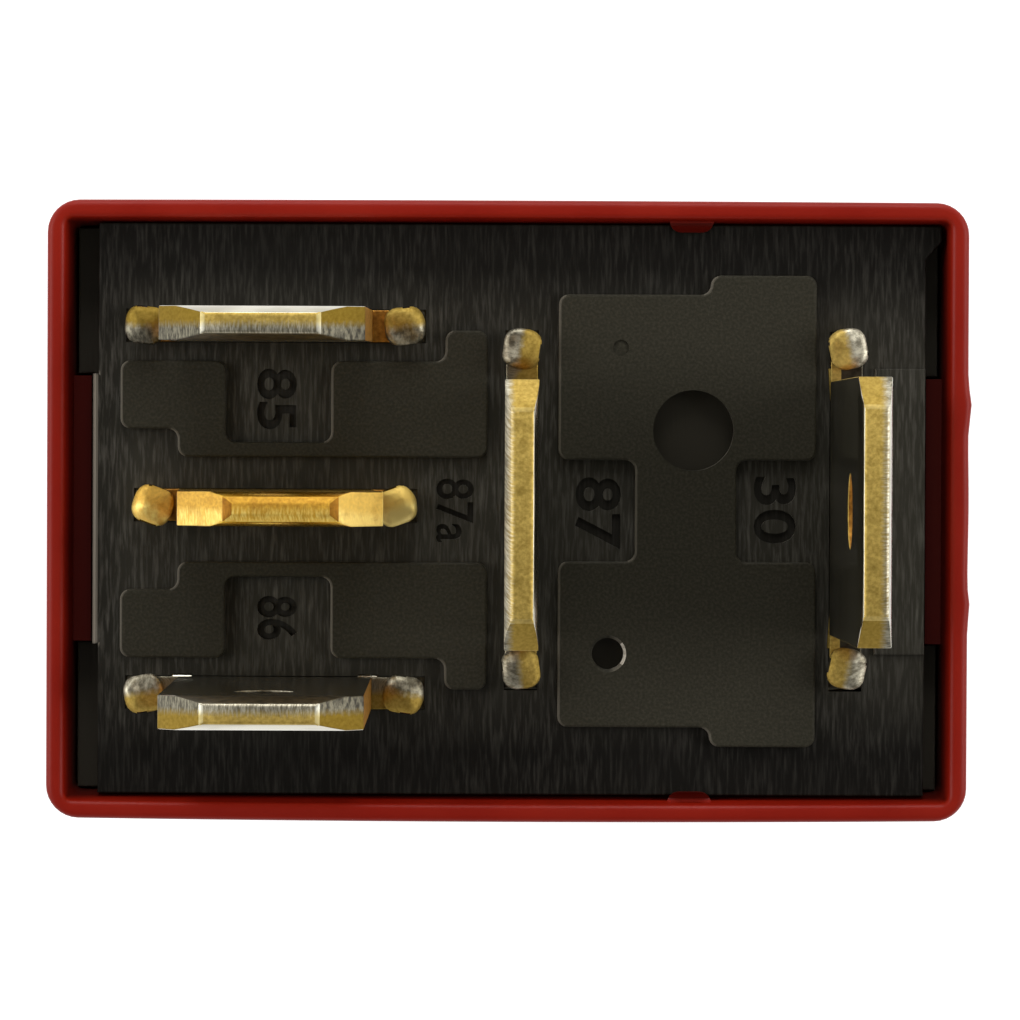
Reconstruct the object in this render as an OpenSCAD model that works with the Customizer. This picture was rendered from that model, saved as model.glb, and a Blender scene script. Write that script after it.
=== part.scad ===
// Micro relay of the change-over type. It stands on the closed end of its cover, with the blades up.
// The origin is the centre of the closed end. X runs along the cover towards blade 30,
// Y across it towards blade 85, and Z from the closed end to the blades. All sizes are millimetres.

/* [Cover] */
// Length of the cover at its rim
cover_l = 22.8; // [22.6:0.1:24]
// Width of the cover at its rim
cover_w = 15.3; // [15.2:0.1:16.5]
// Height of the cover from its closed end to its rim
cover_h = 25.4; // [25.3:0.1:28]
// Thickness of the cover's side walls
wall = 0.6; // [0.5:0.05:0.65]
// Thickness of the cover's closed end
end_wall = 0.8; // [0.6:0.1:1.2]
// Radius of the cover's upright corners
corner_r = 0.8; // [0.7:0.05:1.2]
// Lean of each side wall over the whole height
draft = 0.1; // [0:0.05:0.2]
// How far the two detent nubs stand out of the long walls
nub_out = 0.3; // [0.2:0.05:0.4]

/* [Base] */
// Depth of the deck below the rim
deck_drop = 0.5; // [0.4:0.1:0.8]
// Thickness of the base from its deck to its underside
base_t = 2.9; // [2.7:0.1:3.1]
// Height of the raised lands over the deck
land_h = 0.3; // [0.15:0.05:0.4]
// Depth of the corner ledges below the deck
ledge_drop = 1.5; // [1:0.1:2]
// Gap between the base and the cover's walls
base_fit = 0.05; // [0.03:0.01:0.1]
// Width of the notch at the middle of each short side
notch_w = 6.7; // [5:0.1:8]
// Diameter of the round recess in the large land
recess_d = 2; // [1.6:0.1:2.2]

/* [Blades] */
// Thickness of the terminals
blade_t = 0.8; // [0.75:0.01:0.85]
// Height of the blades over the deck
blade_h = 11.3; // [9:0.1:12]
// Width of the load blades 30 and 87
wide_w = 6.3; // [6:0.1:6.5]
// Width of the blades 85, 86 and 87a
narrow_w = 4.8; // [4.6:0.1:5]
// Width of the staked ears of blades 30, 87, 85 and 86
ear_w = 1; // [0.8:0.05:1.1]
// Width of the staked ears of blade 87a
small_ear_w = 0.8; // [0.7:0.05:0.9]
// Height of the staked ears over the deck
ear_h = 1; // [0.7:0.05:1.2]
// Diameter of the detent holes in the load blades
wide_hole_d = 1.8; // [1.6:0.1:2]
// Diameter of the detent holes in blades 85, 86 and 87a
narrow_hole_d = 1.4; // [1.2:0.1:1.6]

/* [Places] */
// Place of blade 30 along X
t30_x = 8.4; // [8.2:0.05:8.6]
// Place of blade 87 along X
t87_x = 0.35; // [0.25:0.05:0.45]
// Place of the narrow blades along X
narrow_x = -5.75; // [-5.8:0.05:-5.7]
// Distance of blades 85 and 86 from the middle
coil_y = 4.55; // [4.5:0.05:4.7]
// Place of blade 87a along Y
t87a_y = 0.1; // [0:0.05:0.2]
// How far the tip of blade 87a leans along X from its foot
lean = 0.45; // [0:0.05:0.5]

/* [Magnet] */
// Place of the core along X
core_x = 1; // [0.9:0.05:1.1]
// Diameter of the core
core_d = 5; // [4:0.1:5.4]
// Diameter of the pole face
pole_d = 7; // [6:0.1:7.4]
// Thickness of the pole face
pole_t = 1; // [0.8:0.1:1.2]
// Height of the bobbin between the pole face and the yoke
spool_h = 14.1; // [13.5:0.1:14.4]
// Diameter of the winding
winding_d = 10.6; // [9:0.1:10.8]
// Thickness of the yoke
yoke_t = 1.3; // [1.1:0.1:1.4]
// Width of the yoke
yoke_w = 10.4; // [10:0.1:10.8]

/* [Contacts] */
// Thickness of the armature
armature_t = 1.2; // [1:0.1:1.3]
// Angle the armature opens through
open_deg = 3; // [2.5:0.1:3.2]
// Thickness of the leaf spring
leaf_t = 0.2; // [0.15:0.01:0.25]
// Place of the contacts along X
contact_x = -7.2; // [-7.3:0.05:-7.1]
// Diameter of the moving contact
contact_d = 2.4; // [2:0.1:2.6]
// Height of each contact head
contact_h = 0.5; // [0.4:0.05:0.55]

/* [Hidden] */

// Cover
inner_l = cover_l - 2 * wall;
inner_w = cover_w - 2 * wall;
inner_r = 0.25;          // inside upright corners
end_round = 0.5;         // edges of the closed end
rim_round = 0.22;        // outer edge of the rim
rim_in = 0.1;            // inner edge of the rim
nub_x = 4.55;
nub_l = 1.3;
nub_h = 0.4;
rib = 0.8;               // corner ribs that the base sits on
guide = [5, 0.7];        // ribs beside the yoke's foot

// Base
slip = 0.04;             // gap all round a terminal in its slot
overlap = 0.3;           // how far joined features run into each other
base_l = inner_l - 2 * base_fit;
base_w = inner_w - 2 * base_fit;
deck_z = cover_h - deck_drop;
under_z = deck_z - base_t;
left_gap = 0.6;          // deck edge to base edge on the left
tab_gap = 0.45;          // the same at the left tab, between the corners
right_gap = 0.4;
land_r = 0.25;
plateau_h = 0.12;        // low step beside blade 30
plateau_w = 7.1;
recess = [4.6, 2];
pit = [2.5, -3.54];
pit_d = 0.78;
gate = [2.82, 4.04];
gate_d = 0.55;
mark_depth = 0.2;

// Blades
neck = 0.3;              // gap between a blade and its ear
neck_h = 0.12;           // height of the terminal's edge there, over the deck
tip_t = 0.5;             // coined thickness at the tip
lead_in = 1;             // length of the coined bevels
wide_cut = [0.7, 0.7];   // corner cut of the tip, across and down
narrow_cut = [1.15, 1];
wide_hole_drop = 3.5;    // detent hole below the tip
narrow_hole_drop = 3;
ear_r = 0.4;
twist = 18;              // turn of a staked ear
bend_r = 0.3;            // inside radius of a bent terminal
shoulder = 0.3;          // how far a shoulder reaches past its slot
shoulder_h = 0.5;

// Magnet
yoke_out = t30_x - blade_t / 2;
yoke_in = yoke_out - yoke_t;
foot_z = under_z - yoke_t;
spool_z = foot_z - spool_h;
pole_z = spool_z - pole_t;
foot_end = core_x - 2.3;
core_neck_d = 3.5;
rivet_flare = 0.4;       // countersink of the core's riveted end
bore_slip = 0.05;
tube_t = 0.65;
flange_t = 0.9;
flange_w = 12.8;
flange_lip = 0.6;
flange_r = 0.5;
yoke_gap = 0.1;          // between the flanges and the yoke
lug_w = 1.05;
lug_slip = 0.15;
tail_w = 1.4;            // weld tails of terminals 85 and 86
tail_h = 0.7;
pin_w = 0.64;
pin_x = narrow_x + tail_w / 2 + pin_w / 2;
pin_top = under_z - shoulder_h - 0.1;
pin_drop = 2.2;          // coil pin below the upper flange
flange_left = pin_x - pin_w / 2 - flange_lip;
wire_d = 0.25;
turns = 5;
load_tail_w = 5.4;
load_tail_h = 5.2;

// Contacts
stop_gap = 0.03;         // left open where pieces meet at a stop
pivot_z = pole_z - stop_gap;
armature_z = pivot_z - armature_t;
leaf_z = armature_z - leaf_t;
arm_z = armature_z + contact_h + stop_gap + contact_h;      // underside of the arm over the contact
nc_z = swing_z(contact_x, leaf_z - contact_h) - 2 * stop_gap;
nc_arm_z = nc_z - contact_h - blade_t;                      // underside of the arm under the contact
fixed_d = contact_d + 0.2;
shank_d = 1.2;
pad = fixed_d / 2 + 0.15;                                   // half width of an arm at its contact
run_x = contact_x - contact_d / 2 - blade_t;                // middle of the two upright runs
run_in = 0.9;
run_w = 2.6;
strip_z = under_z + 0.4;                                    // underside of the strip of terminal 87
ledge_end = run_x - blade_t / 2 - 0.6;
ledge_w = 2 * (run_in + run_w) + 3;
heel_w = yoke_w - 2 * lug_w - 2 * lug_slip;
armature_w = heel_w + 1;
armature_end = core_x - pole_d / 2 - 0.7;
leaf_w = 6.4;
leaf_tip_w = 3.4;
window_w = 2.6;
window_run = 1.6;                                           // window's reach under the armature
leg_len = 6.8;                                              // part of the leaf that lies on the yoke
tip_corner = 0.6;
knee_r = pivot_z - leaf_z - leaf_t / 2;
knee_deg = acos((leaf_t / 2 + knee_r) / (2 * knee_r));
leg_z = pivot_z + 2 * knee_r * sin(knee_deg);               // where the leaf lies on the yoke
leg_top = leg_z + leg_len;
leaf_tip = contact_x - contact_d / 2;
pivot = [yoke_out, pivot_z];
spring_rivet_z = leg_z + 0.68 * leg_len;
spring_rivet_y = 1.9;
arm_rivet = [yoke_out - 2.8, 2.4];
tail_rivet_z = foot_z - 2.3;
tail_rivet_y = 1.5;
rivet_d = 1.2;
rivet_head_d = 2;
rivet_head_h = 0.4;

fine = 32;
steps = 4;               // chords in a rounded corner of an outline
bend_steps = 14;         // chords in a bend of the leaf

// Height of a point of the closed armature once the armature has opened
function swing_z(x, z) = pivot_z + (x - yoke_out) * sin(open_deg) + (z - pivot_z) * cos(open_deg);

function unit(v) = v / norm(v);

function polar(r, a) = r * [cos(a), sin(a)];

// Arc that rounds corner p, between its neighbours a and b
function corner_arc(a, p, b, r) =
    let (
        u = unit(a - p),
        v = unit(b - p),
        half = acos(u * v) / 2,
        c = p + unit(u + v) * r / sin(half),
        from = p + u * r / tan(half) - c,
        to = p + v * r / tan(half) - c,
        sweep = sign(cross(from, to)) * (180 - 2 * half),
        start = atan2(from.y, from.x)
    )
    [for (i = [0:steps]) c + polar(r, start + sweep * i / steps)];

// Outline with each of its corners rounded
function rounded(pts, r) =
    let (n = len(pts))
    [for (i = [0:n - 1]) each corner_arc(pts[(i + n - 1) % n], pts[i], pts[(i + 1) % n], r)];

function mirrored(pts) = [for (p = pts) [p.x, -p.y]];

function box_outline(x0, x1, y0, y1) = [[x0, y0], [x1, y0], [x1, y1], [x0, y1]];

// Box from one corner to the other
module block(from, to) {
    translate(from) cube(to - from);
}

// Bend of a strip about an axis along Y, from angle a0 to a1 in the XZ plane
module bend(x, z, r, t, a0, a1, y0, y1) {
    translate([x, 0, z]) rotate([90, 0, 0]) rotate([0, 0, a0])
        rotate_extrude(angle = a1 - a0, $fn = 64)
            translate([r, -y1]) square([t, y1 - y0]);
}

// Rivet along Z: shank from the origin up, head below it
module rivet(length) {
    cylinder(h = length, d = rivet_d, $fn = fine);
    translate([0, 0, -rivet_head_h / 2]) cylinder(h = rivet_head_h / 2, d = rivet_head_d, $fn = fine);
    translate([0, 0, -rivet_head_h])
        cylinder(h = rivet_head_h / 2, d1 = rivet_head_d * 0.7, d2 = rivet_head_d, $fn = fine);
}

// Turns what is drawn on the closed armature to where it rests, with the relay off
module opened() {
    translate([yoke_out, 0, pivot_z]) rotate([0, -open_deg, 0]) translate([-yoke_out, 0, -pivot_z])
        children();
}

// ---- cover ----

module at_corners(l, w, r) {
    for (sx = [-1, 1], sy = [-1, 1])
        translate([sx * (l / 2 - r), sy * (w / 2 - r), 0]) children();
}

// Disc whose lower edge is rounded
module round_disc(r, edge) {
    arc = [for (i = [0:steps]) [r - edge + edge * sin(90 * i / steps), edge - edge * cos(90 * i / steps)]];
    rotate_extrude($fn = fine) polygon(concat([[0, 0]], arc, [[0, edge]]));
}

module cover_outside() {
    hull() {
        at_corners(cover_l - 2 * draft, cover_w - 2 * draft, corner_r) round_disc(corner_r, end_round);
        translate([0, 0, cover_h])
            at_corners(cover_l, cover_w, corner_r) mirror([0, 0, 1]) round_disc(corner_r, rim_round);
    }
}

module cover_inside() {
    hull() {
        translate([0, 0, end_wall])
            at_corners(inner_l - 2 * draft, inner_w - 2 * draft, inner_r)
                cylinder(h = wall, r = inner_r, $fn = fine);
        translate([0, 0, cover_h])
            at_corners(inner_l, inner_w, inner_r) cylinder(h = wall, r = inner_r, $fn = fine);
    }
    translate([0, 0, cover_h])
        hull() {
            translate([0, 0, -rim_in])
                at_corners(inner_l, inner_w, inner_r) cylinder(h = rim_in, r = inner_r, $fn = fine);
            at_corners(inner_l + 2 * rim_in, inner_w + 2 * rim_in, inner_r + rim_in)
                cylinder(h = wall, r = inner_r + rim_in, $fn = fine);
        }
}

// Snap nub over the deck's edge, on the wall at +Y
module nub() {
    profile = [
        [inner_w / 2 + wall / 3, 0],
        [inner_w / 2 - nub_out, nub_h * 0.3],
        [inner_w / 2 - nub_out, nub_h * 0.5],
        [inner_w / 2 + wall / 3, nub_h]
    ];
    translate([nub_x - nub_l / 2, 0, deck_z + base_fit])
        rotate([90, 0, 90]) linear_extrude(nub_l) polygon(profile);
}

module cover() {
    color("#8e2c21") {
        difference() {
            cover_outside();
            cover_inside();
        }
        nub();
        mirror([0, 1, 0]) nub();
        for (sx = [-1, 1], sy = [-1, 1])
            translate([sx * (inner_l / 2 - rib / 2), sy * (inner_w / 2 - rib / 2), end_wall - overlap])
                linear_extrude(under_z - end_wall + overlap)
                    square(rib + wall / 2, center = true);
    }
}

// ---- base ----

deck_right = base_l / 2 - right_gap;
deck_left = left_gap - base_l / 2;
tab_left = tab_gap - base_l / 2;

// Land between blades 85 and 87a, with a pocket for its number that opens towards blade 85
land_side = [
    [-9.59, 3.68], [-6.98, 3.68], [-6.98, 1.67], [-4.37, 1.67], [-4.37, 3.68], [-1.55, 3.68],
    [-1.55, 4.45], [-0.5, 4.45], [-0.5, 1.3], [-8.17, 1.3], [-8.17, 1.99], [-9.59, 1.99]
];

// Land between blades 87 and 30, with a pocket for a number at each side
land_middle = [
    [1.26, 5.36], [5.02, 5.36], [5.02, 5.84], [7.64, 5.84], [7.64, 1.26], [5.67, 1.26],
    [5.67, -1.26], [7.64, -1.26], [7.64, -5.84], [5.02, -5.84], [5.02, -5.36], [1.26, -5.36],
    [1.26, -1.26], [3.16, -1.26], [3.16, 1.26], [1.26, 1.26]
];

module deck_outline() {
    half_w = base_w / 2;
    polygon([
        [deck_left, -half_w], [deck_right, -half_w], [deck_right, half_w - 0.75],
        [base_l / 2, half_w - 0.3], [base_l / 2, half_w], [deck_left, half_w],
        [deck_left, notch_w / 2], [tab_left, notch_w / 2], [tab_left, -notch_w / 2],
        [deck_left, -notch_w / 2]
    ]);
}

module ledge_outline() {
    difference() {
        square([base_l, base_w], center = true);
        translate([deck_right, -notch_w / 2]) square([right_gap + wall, notch_w]);
        translate([tab_left - tab_gap - wall, -notch_w / 2]) square([tab_gap + wall, notch_w]);
    }
}

// Raised field that starts inside the deck, so that the two join
module raised(h) {
    translate([0, 0, deck_z - overlap]) linear_extrude(h + overlap) children();
}

// Ribs on the underside that hold the yoke's foot between them
module foot_guides() {
    for (side = [-1, 1])
        translate([core_x + guide.x / 2, side * (yoke_w + guide.y + 2 * slip) / 2, foot_z + yoke_gap])
            linear_extrude(yoke_t - yoke_gap + overlap) square(guide, center = true);
}

// Slot for a terminal whose ears are span apart over all, drawn about the terminal's own middle
module slot(span) {
    translate([-span / 2 - slip, -blade_t / 2 - slip, -base_t - 1])
        cube([span + 2 * slip, blade_t + 2 * slip, base_t + 2]);
}

module base() {
    color("#23211d") difference() {
        union() {
            translate([0, 0, under_z]) linear_extrude(base_t - ledge_drop) ledge_outline();
            translate([0, 0, under_z]) linear_extrude(base_t) deck_outline();
            raised(land_h) polygon(rounded(land_side, land_r));
            raised(land_h) polygon(rounded(mirrored(land_side), land_r));
            raised(land_h) polygon(rounded(land_middle, land_r));
            raised(plateau_h)
                polygon(box_outline(yoke_out + blade_t + neck, deck_right, -plateau_w / 2, plateau_w / 2));
            foot_guides();
        }
        at_30() slot(wide_span);
        at_87() slot(wide_span);
        at_87a() slot(centre_span);
        at_85() slot(narrow_span);
        at_86() slot(narrow_span);
        block(
            [ledge_end - wall, -run_in - run_w - slip, under_z - 1],
            [t87_x + blade_t / 2 + slip, -run_in + slip, strip_z + blade_t + slip]
        );
        block(
            [t87_x - blade_t / 2 - bend_r, -run_in - run_w - slip, strip_z],
            [t87_x, -run_in + slip, strip_z + blade_t + bend_r]
        );
        translate([recess.x, recess.y, deck_z - mark_depth]) cylinder(h = base_t, d = recess_d, $fn = fine);
        translate([pit.x, pit.y, deck_z - mark_depth]) cylinder(h = base_t, d = pit_d, $fn = fine);
        translate([gate.x, gate.y, deck_z + land_h - mark_depth / 2])
            cylinder(h = base_t, d = gate_d, $fn = fine);
    }
}

// ---- terminals ----

wide_span = wide_w + 2 * (neck + ear_w);
narrow_span = narrow_w + 2 * (neck + ear_w);
centre_span = narrow_w + 2 * (neck + small_ear_w);

module at_30() {
    translate([t30_x, 0, deck_z]) rotate([0, 0, 90]) children();
}

module at_87() {
    translate([t87_x, 0, deck_z]) rotate([0, 0, 90]) children();
}

module at_87a() {
    translate([narrow_x, t87a_y, deck_z]) children();
}

module at_85() {
    translate([narrow_x, coil_y, deck_z]) children();
}

module at_86() {
    translate([narrow_x, -coil_y, deck_z]) children();
}

// Ear that was pushed up through the slot, then staked and turned
module ear(w, turn) {
    hull() {
        translate([0, 0, -neck_h]) cube([w, blade_t, 2 * neck_h], center = true);
        rotate([0, 0, turn])
            for (side = [-1, 1])
                translate([side * (w / 2 - ear_r), 0, ear_h - ear_r]) sphere(r = ear_r, $fn = 20);
    }
}

// How far a blade that leans by off at its tip has moved at height z over the deck
function leant(z, off) = off * max(z, 0) / blade_h;

// Blade with its ears and the body that fills the slot, upright on the deck and as wide as X.
// The body goes down to depth below the deck, turn is the ears' twist, and off the lean of the tip.
module tab(w, ear_width, hole_d, hole_drop, cut, depth, turn = twist, off = 0) {
    span = w + 2 * (neck + ear_width);
    outline = [
        [-w / 2, -depth], [w / 2, -depth], [w / 2, 0], [w / 2, blade_h - cut.y],
        [w / 2 - cut.x, blade_h], [cut.x - w / 2, blade_h], [-w / 2, blade_h - cut.y], [-w / 2, 0]
    ];
    front = [for (p = outline) [p.x + leant(p.y, off), p.y]];
    side = [
        [-blade_t / 2, -depth], [blade_t / 2, -depth], [blade_t / 2, blade_h - lead_in],
        [tip_t / 2, blade_h], [-tip_t / 2, blade_h], [-blade_t / 2, blade_h - lead_in]
    ];
    difference() {
        union() {
            intersection() {
                rotate([90, 0, 0]) linear_extrude(2 * blade_t, center = true) polygon(front);
                rotate([90, 0, 90]) linear_extrude(2 * w, center = true) polygon(side);
            }
            translate([-span / 2, -blade_t / 2, -depth]) cube([span, blade_t, depth + neck_h]);
            for (sx = [-1, 1])
                translate([sx * (span / 2 - ear_width / 2), 0, 0]) ear(ear_width, sx * turn);
        }
        translate([leant(blade_h - hole_drop, off), 0, blade_h - hole_drop])
            rotate([90, 0, 0]) cylinder(h = 2 * blade_t, d = hole_d, center = true, $fn = fine);
    }
}

// Shoulders that bear on the underside of the base
module shoulders(span) {
    translate([-span / 2 - shoulder, -blade_t / 2, -base_t - shoulder_h])
        cube([span + 2 * shoulder, blade_t, shoulder_h]);
}

// Upright run and the arm that it ends in, on the side of +Y. The arm's underside is at z.
module run_and_arm(z, top) {
    corner_x = run_x + blade_t / 2 + bend_r;
    outline = [
        [corner_x, run_in + run_w], [contact_x + pad, run_in + run_w], [contact_x + pad, -pad],
        [contact_x - pad + 0.1, -pad], [contact_x - pad + 0.1, run_in], [corner_x, run_in]
    ];
    block(
        [run_x - blade_t / 2, run_in, z + blade_t + bend_r],
        [run_x + blade_t / 2, run_in + run_w, top]
    );
    bend(corner_x, z + blade_t + bend_r, bend_r, blade_t, 180, 270, run_in, run_in + run_w);
    translate([0, 0, z]) difference() {
        linear_extrude(blade_t) polygon(outline);
        translate([contact_x, 0, -blade_t]) cylinder(h = 3 * blade_t, d = shank_d, $fn = fine);
    }
}

module terminal_30() {
    color("#c9c3ae") difference() {
        union() {
            at_30() tab(wide_w, ear_w, wide_hole_d, wide_hole_drop, wide_cut, base_t);
            at_30() shoulders(wide_span);
            block(
                [yoke_out, -load_tail_w / 2, under_z - load_tail_h],
                [yoke_out + blade_t, load_tail_w / 2, under_z]
            );
        }
        tail_holes();
    }
}

module terminal_87() {
    bend_z = strip_z + blade_t + bend_r;
    strip_x = t87_x - blade_t / 2 - bend_r;
    turn_x = run_x + blade_t / 2 + bend_r;
    color("#cfc196") {
        at_87() tab(wide_w, ear_w, wide_hole_d, wide_hole_drop, wide_cut, deck_z - bend_z, -twist);
        mirror([0, 1, 0]) {
            bend(strip_x, bend_z, bend_r, blade_t, 270, 360, run_in, run_in + run_w);
            block([turn_x, run_in, strip_z], [strip_x, run_in + run_w, strip_z + blade_t]);
            bend(turn_x, strip_z - bend_r, bend_r, blade_t, 90, 180, run_in, run_in + run_w);
            run_and_arm(arm_z, strip_z - bend_r);
        }
    }
}

module terminal_87a() {
    plate_h = 2.4;
    plate_end = flange_left - 0.3;
    corner = [run_x + blade_t / 2 + bend_r, t87a_y + blade_t / 2 + bend_r];
    color("#d6a83c") {
        at_87a()
            tab(narrow_w, small_ear_w, narrow_hole_d, narrow_hole_drop, narrow_cut, base_t, twist, lean);
        block(
            [corner.x, t87a_y - blade_t / 2, under_z - plate_h],
            [plate_end, t87a_y + blade_t / 2, under_z]
        );
        translate([corner.x, corner.y, under_z - plate_h]) rotate([0, 0, 180])
            rotate_extrude(angle = 90, $fn = 64) translate([bend_r, 0]) square([blade_t, plate_h]);
        block(
            [run_x - blade_t / 2, corner.y, under_z - plate_h],
            [run_x + blade_t / 2, run_in + run_w, under_z]
        );
        run_and_arm(nc_arm_z, under_z - plate_h);
    }
}

// Terminal 85, with the tail that its coil pin is welded to
module coil_terminal() {
    translate([narrow_x, coil_y, deck_z]) {
        tab(narrow_w, ear_w, narrow_hole_d, narrow_hole_drop, narrow_cut, base_t);
        shoulders(narrow_span);
        translate([-tail_w / 2, -blade_t / 2, -base_t - shoulder_h - tail_h])
            cube([tail_w, blade_t, tail_h + shoulder_h]);
    }
}

module terminal_85() {
    color("#c9c3ae") coil_terminal();
}

module terminal_86() {
    color("#c9c3ae") mirror([0, 1, 0]) coil_terminal();
}

// ---- magnet ----

// Holes for the rivets that join terminal 30 to the yoke
module tail_holes() {
    for (side = [-1, 1])
        translate([yoke_in - blade_t, side * tail_rivet_y, tail_rivet_z])
            rotate([0, 90, 0]) cylinder(h = yoke_t + 3 * blade_t, d = rivet_d, $fn = fine);
}

module yoke() {
    outer_r = bend_r + yoke_t;
    color("#a9a9a4") difference() {
        union() {
            block([yoke_in, -yoke_w / 2, pole_z], [yoke_out, yoke_w / 2, under_z - outer_r]);
            bend(yoke_in - bend_r, foot_z - bend_r, bend_r, yoke_t, 0, 90, -yoke_w / 2, yoke_w / 2);
            block([foot_end, -yoke_w / 2, foot_z], [yoke_in - bend_r, yoke_w / 2, under_z]);
            for (side = [0, 1])
                mirror([0, side, 0])
                    block(
                        [yoke_in, yoke_w / 2 - lug_w, pole_z - armature_t],
                        [yoke_out, yoke_w / 2, pole_z + overlap]
                    );
        }
        translate([core_x, 0, foot_z - 1]) cylinder(h = yoke_t + 2, d = core_neck_d, $fn = fine);
        translate([core_x, 0, under_z - rivet_flare])
            cylinder(h = rivet_flare, d1 = core_neck_d, d2 = core_neck_d + 2 * rivet_flare, $fn = fine);
        tail_holes();
        for (side = [-1, 1])
            translate([yoke_in - 1, side * spring_rivet_y, spring_rivet_z])
                rotate([0, 90, 0]) cylinder(h = yoke_t + 2, d = rivet_d, $fn = fine);
    }
}

module core() {
    color("#b4b4b0") translate([core_x, 0, 0]) {
        translate([0, 0, pole_z]) cylinder(h = pole_t, d = pole_d, $fn = fine);
        translate([0, 0, spool_z]) cylinder(h = spool_h, d = core_d, $fn = fine);
        translate([0, 0, foot_z]) cylinder(h = yoke_t, d = core_neck_d, $fn = fine);
        translate([0, 0, under_z - rivet_flare])
            cylinder(h = rivet_flare, d1 = core_neck_d, d2 = core_neck_d + 2 * rivet_flare, $fn = fine);
    }
}

tube_d = core_d + 2 * bore_slip + 2 * tube_t;

// Flange of the bobbin, between x0 and x1
module flange(x0, x1, width) {
    linear_extrude(flange_t)
        polygon(rounded(box_outline(x0, x1, -width / 2, width / 2), flange_r));
}

module bobbin() {
    ledge_z = arm_z + blade_t + slip;
    color("#d8d2c0") difference() {
        union() {
            translate([core_x, 0, spool_z]) cylinder(h = spool_h, d = tube_d, $fn = fine);
            translate([0, 0, foot_z - flange_t]) flange(flange_left, yoke_in - bend_r, flange_w);
            translate([0, 0, spool_z]) flange(flange_left, yoke_in - yoke_gap, flange_w);
            translate([0, 0, spool_z]) flange(ledge_end, core_x, ledge_w);
            block(
                [ledge_end + flange_r, -ledge_w / 2, ledge_z],
                [core_x - pole_d / 2 - 1, ledge_w / 2, spool_z + flange_t]
            );
        }
        translate([core_x, 0, spool_z - 1])
            cylinder(h = spool_h + 2, d = core_d + 2 * bore_slip, $fn = fine);
        for (side = [0, 1])
            mirror([0, side, 0]) {
                block(
                    [run_x - blade_t / 2 - slip, run_in - slip, ledge_z - 1],
                    [run_x + blade_t / 2 + bend_r, run_in + run_w + slip, spool_z + flange_t + 1]
                );
                block(
                    [pin_x - pin_w / 2, coil_y - pin_w / 2, foot_z - flange_t - 1],
                    [pin_x + pin_w / 2, coil_y + pin_w / 2, foot_z + 1]
                );
            }
    }
}

// Height of the lowest wrapped turn on a coil pin
wrap_z = foot_z - flange_t - pin_drop + 0.3;

// Turns wrapped on a coil pin
module wrap() {
    inner = pin_w / sqrt(2) + 0.01;
    wave = [
        for (i = [0:2 * turns])
            [inner + wire_d * (i % 2 == 0 ? 0.7 : 1), i * wire_d / 2]
    ];
    rotate_extrude($fn = fine)
        polygon(concat([[inner, 0]], wave, [[inner, turns * wire_d]]));
}

// Straight piece of wire from a to b
module wire(a, b) {
    v = b - a;
    translate(a)
        rotate([0, acos(v.z / norm(v)), atan2(v.y, v.x)])
            cylinder(h = norm(v), d = wire_d, $fn = fine);
}

module winding() {
    low = spool_z + flange_t;
    high = foot_z - flange_t;
    edge = 0.3;
    lead_z = wrap_z + turns * wire_d / 2;
    color("#a8582c") {
        translate([core_x, 0, 0]) rotate_extrude($fn = fine)
            polygon([
                [tube_d / 2, low], [winding_d / 2 - edge, low], [winding_d / 2, low + edge],
                [winding_d / 2, high - edge], [winding_d / 2 - edge, high], [tube_d / 2, high]
            ]);
        for (side = [-1, 1]) {
            translate([pin_x, side * coil_y, wrap_z]) wrap();
            wire(
                [core_x - winding_d * 0.32, side * winding_d * 0.34, lead_z],
                [pin_x + pin_w * 0.8, side * (coil_y - pin_w * 0.3), lead_z]
            );
        }
    }
}

// Pin in the upper flange, wrapped with the coil's wire below it and welded to its terminal above it
module coil_pin(side) {
    color("#c9b98a")
        block(
            [pin_x - pin_w / 2, side * coil_y - pin_w / 2, foot_z - flange_t - pin_drop],
            [pin_x + pin_w / 2, side * coil_y + pin_w / 2, pin_top]
        );
}

module coil_pin_85() {
    coil_pin(1);
}

module coil_pin_86() {
    coil_pin(-1);
}

// Rivets that join the tail of terminal 30 to the yoke
module terminal_rivets() {
    color("#b9a25c")
        for (side = [-1, 1])
            translate([yoke_out + blade_t, side * tail_rivet_y, tail_rivet_z])
                rotate([0, -90, 0]) rivet(blade_t + yoke_t);
}

// ---- contacts ----

// Profile of a contact head: flat at its back, domed at its face
module head(d) {
    rotate_extrude($fn = fine)
        polygon([
            [0, 0], [d / 2, 0], [d / 2, contact_h * 0.7], [d * 0.42, contact_h * 0.85],
            [d * 0.25, contact_h * 0.96], [0, contact_h]
        ]);
}

// Contact rivet: head downwards from the origin, shank upwards
module fixed_contact() {
    mirror([0, 0, 1]) head(fixed_d);
    cylinder(h = blade_t, d = shank_d, $fn = fine);
}

module fixed_contact_87() {
    color("#d9d9d4") translate([contact_x, 0, arm_z]) fixed_contact();
}

module fixed_contact_87a() {
    color("#d9d9d4")
        translate([contact_x, 0, nc_arm_z + blade_t]) mirror([0, 0, 1]) fixed_contact();
}

module armature() {
    heel = yoke_out - stop_gap;
    notch = yoke_in - lug_slip;
    outline = [
        [armature_end, -heel_w / 2 + 0.6], [armature_end + 1.4, -armature_w / 2], [notch, -armature_w / 2],
        [notch, -heel_w / 2], [heel, -heel_w / 2], [heel, heel_w / 2], [notch, heel_w / 2],
        [notch, armature_w / 2], [armature_end + 1.4, armature_w / 2], [armature_end, heel_w / 2 - 0.6]
    ];
    color("#9c9c97") opened() difference() {
        translate([0, 0, armature_z]) linear_extrude(armature_t) polygon(rounded(outline, 0.1));
        for (side = [-1, 1])
            translate([arm_rivet.x, side * arm_rivet.y, armature_z - 1])
                cylinder(h = armature_t + 2, d = rivet_d, $fn = fine);
    }
}

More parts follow.
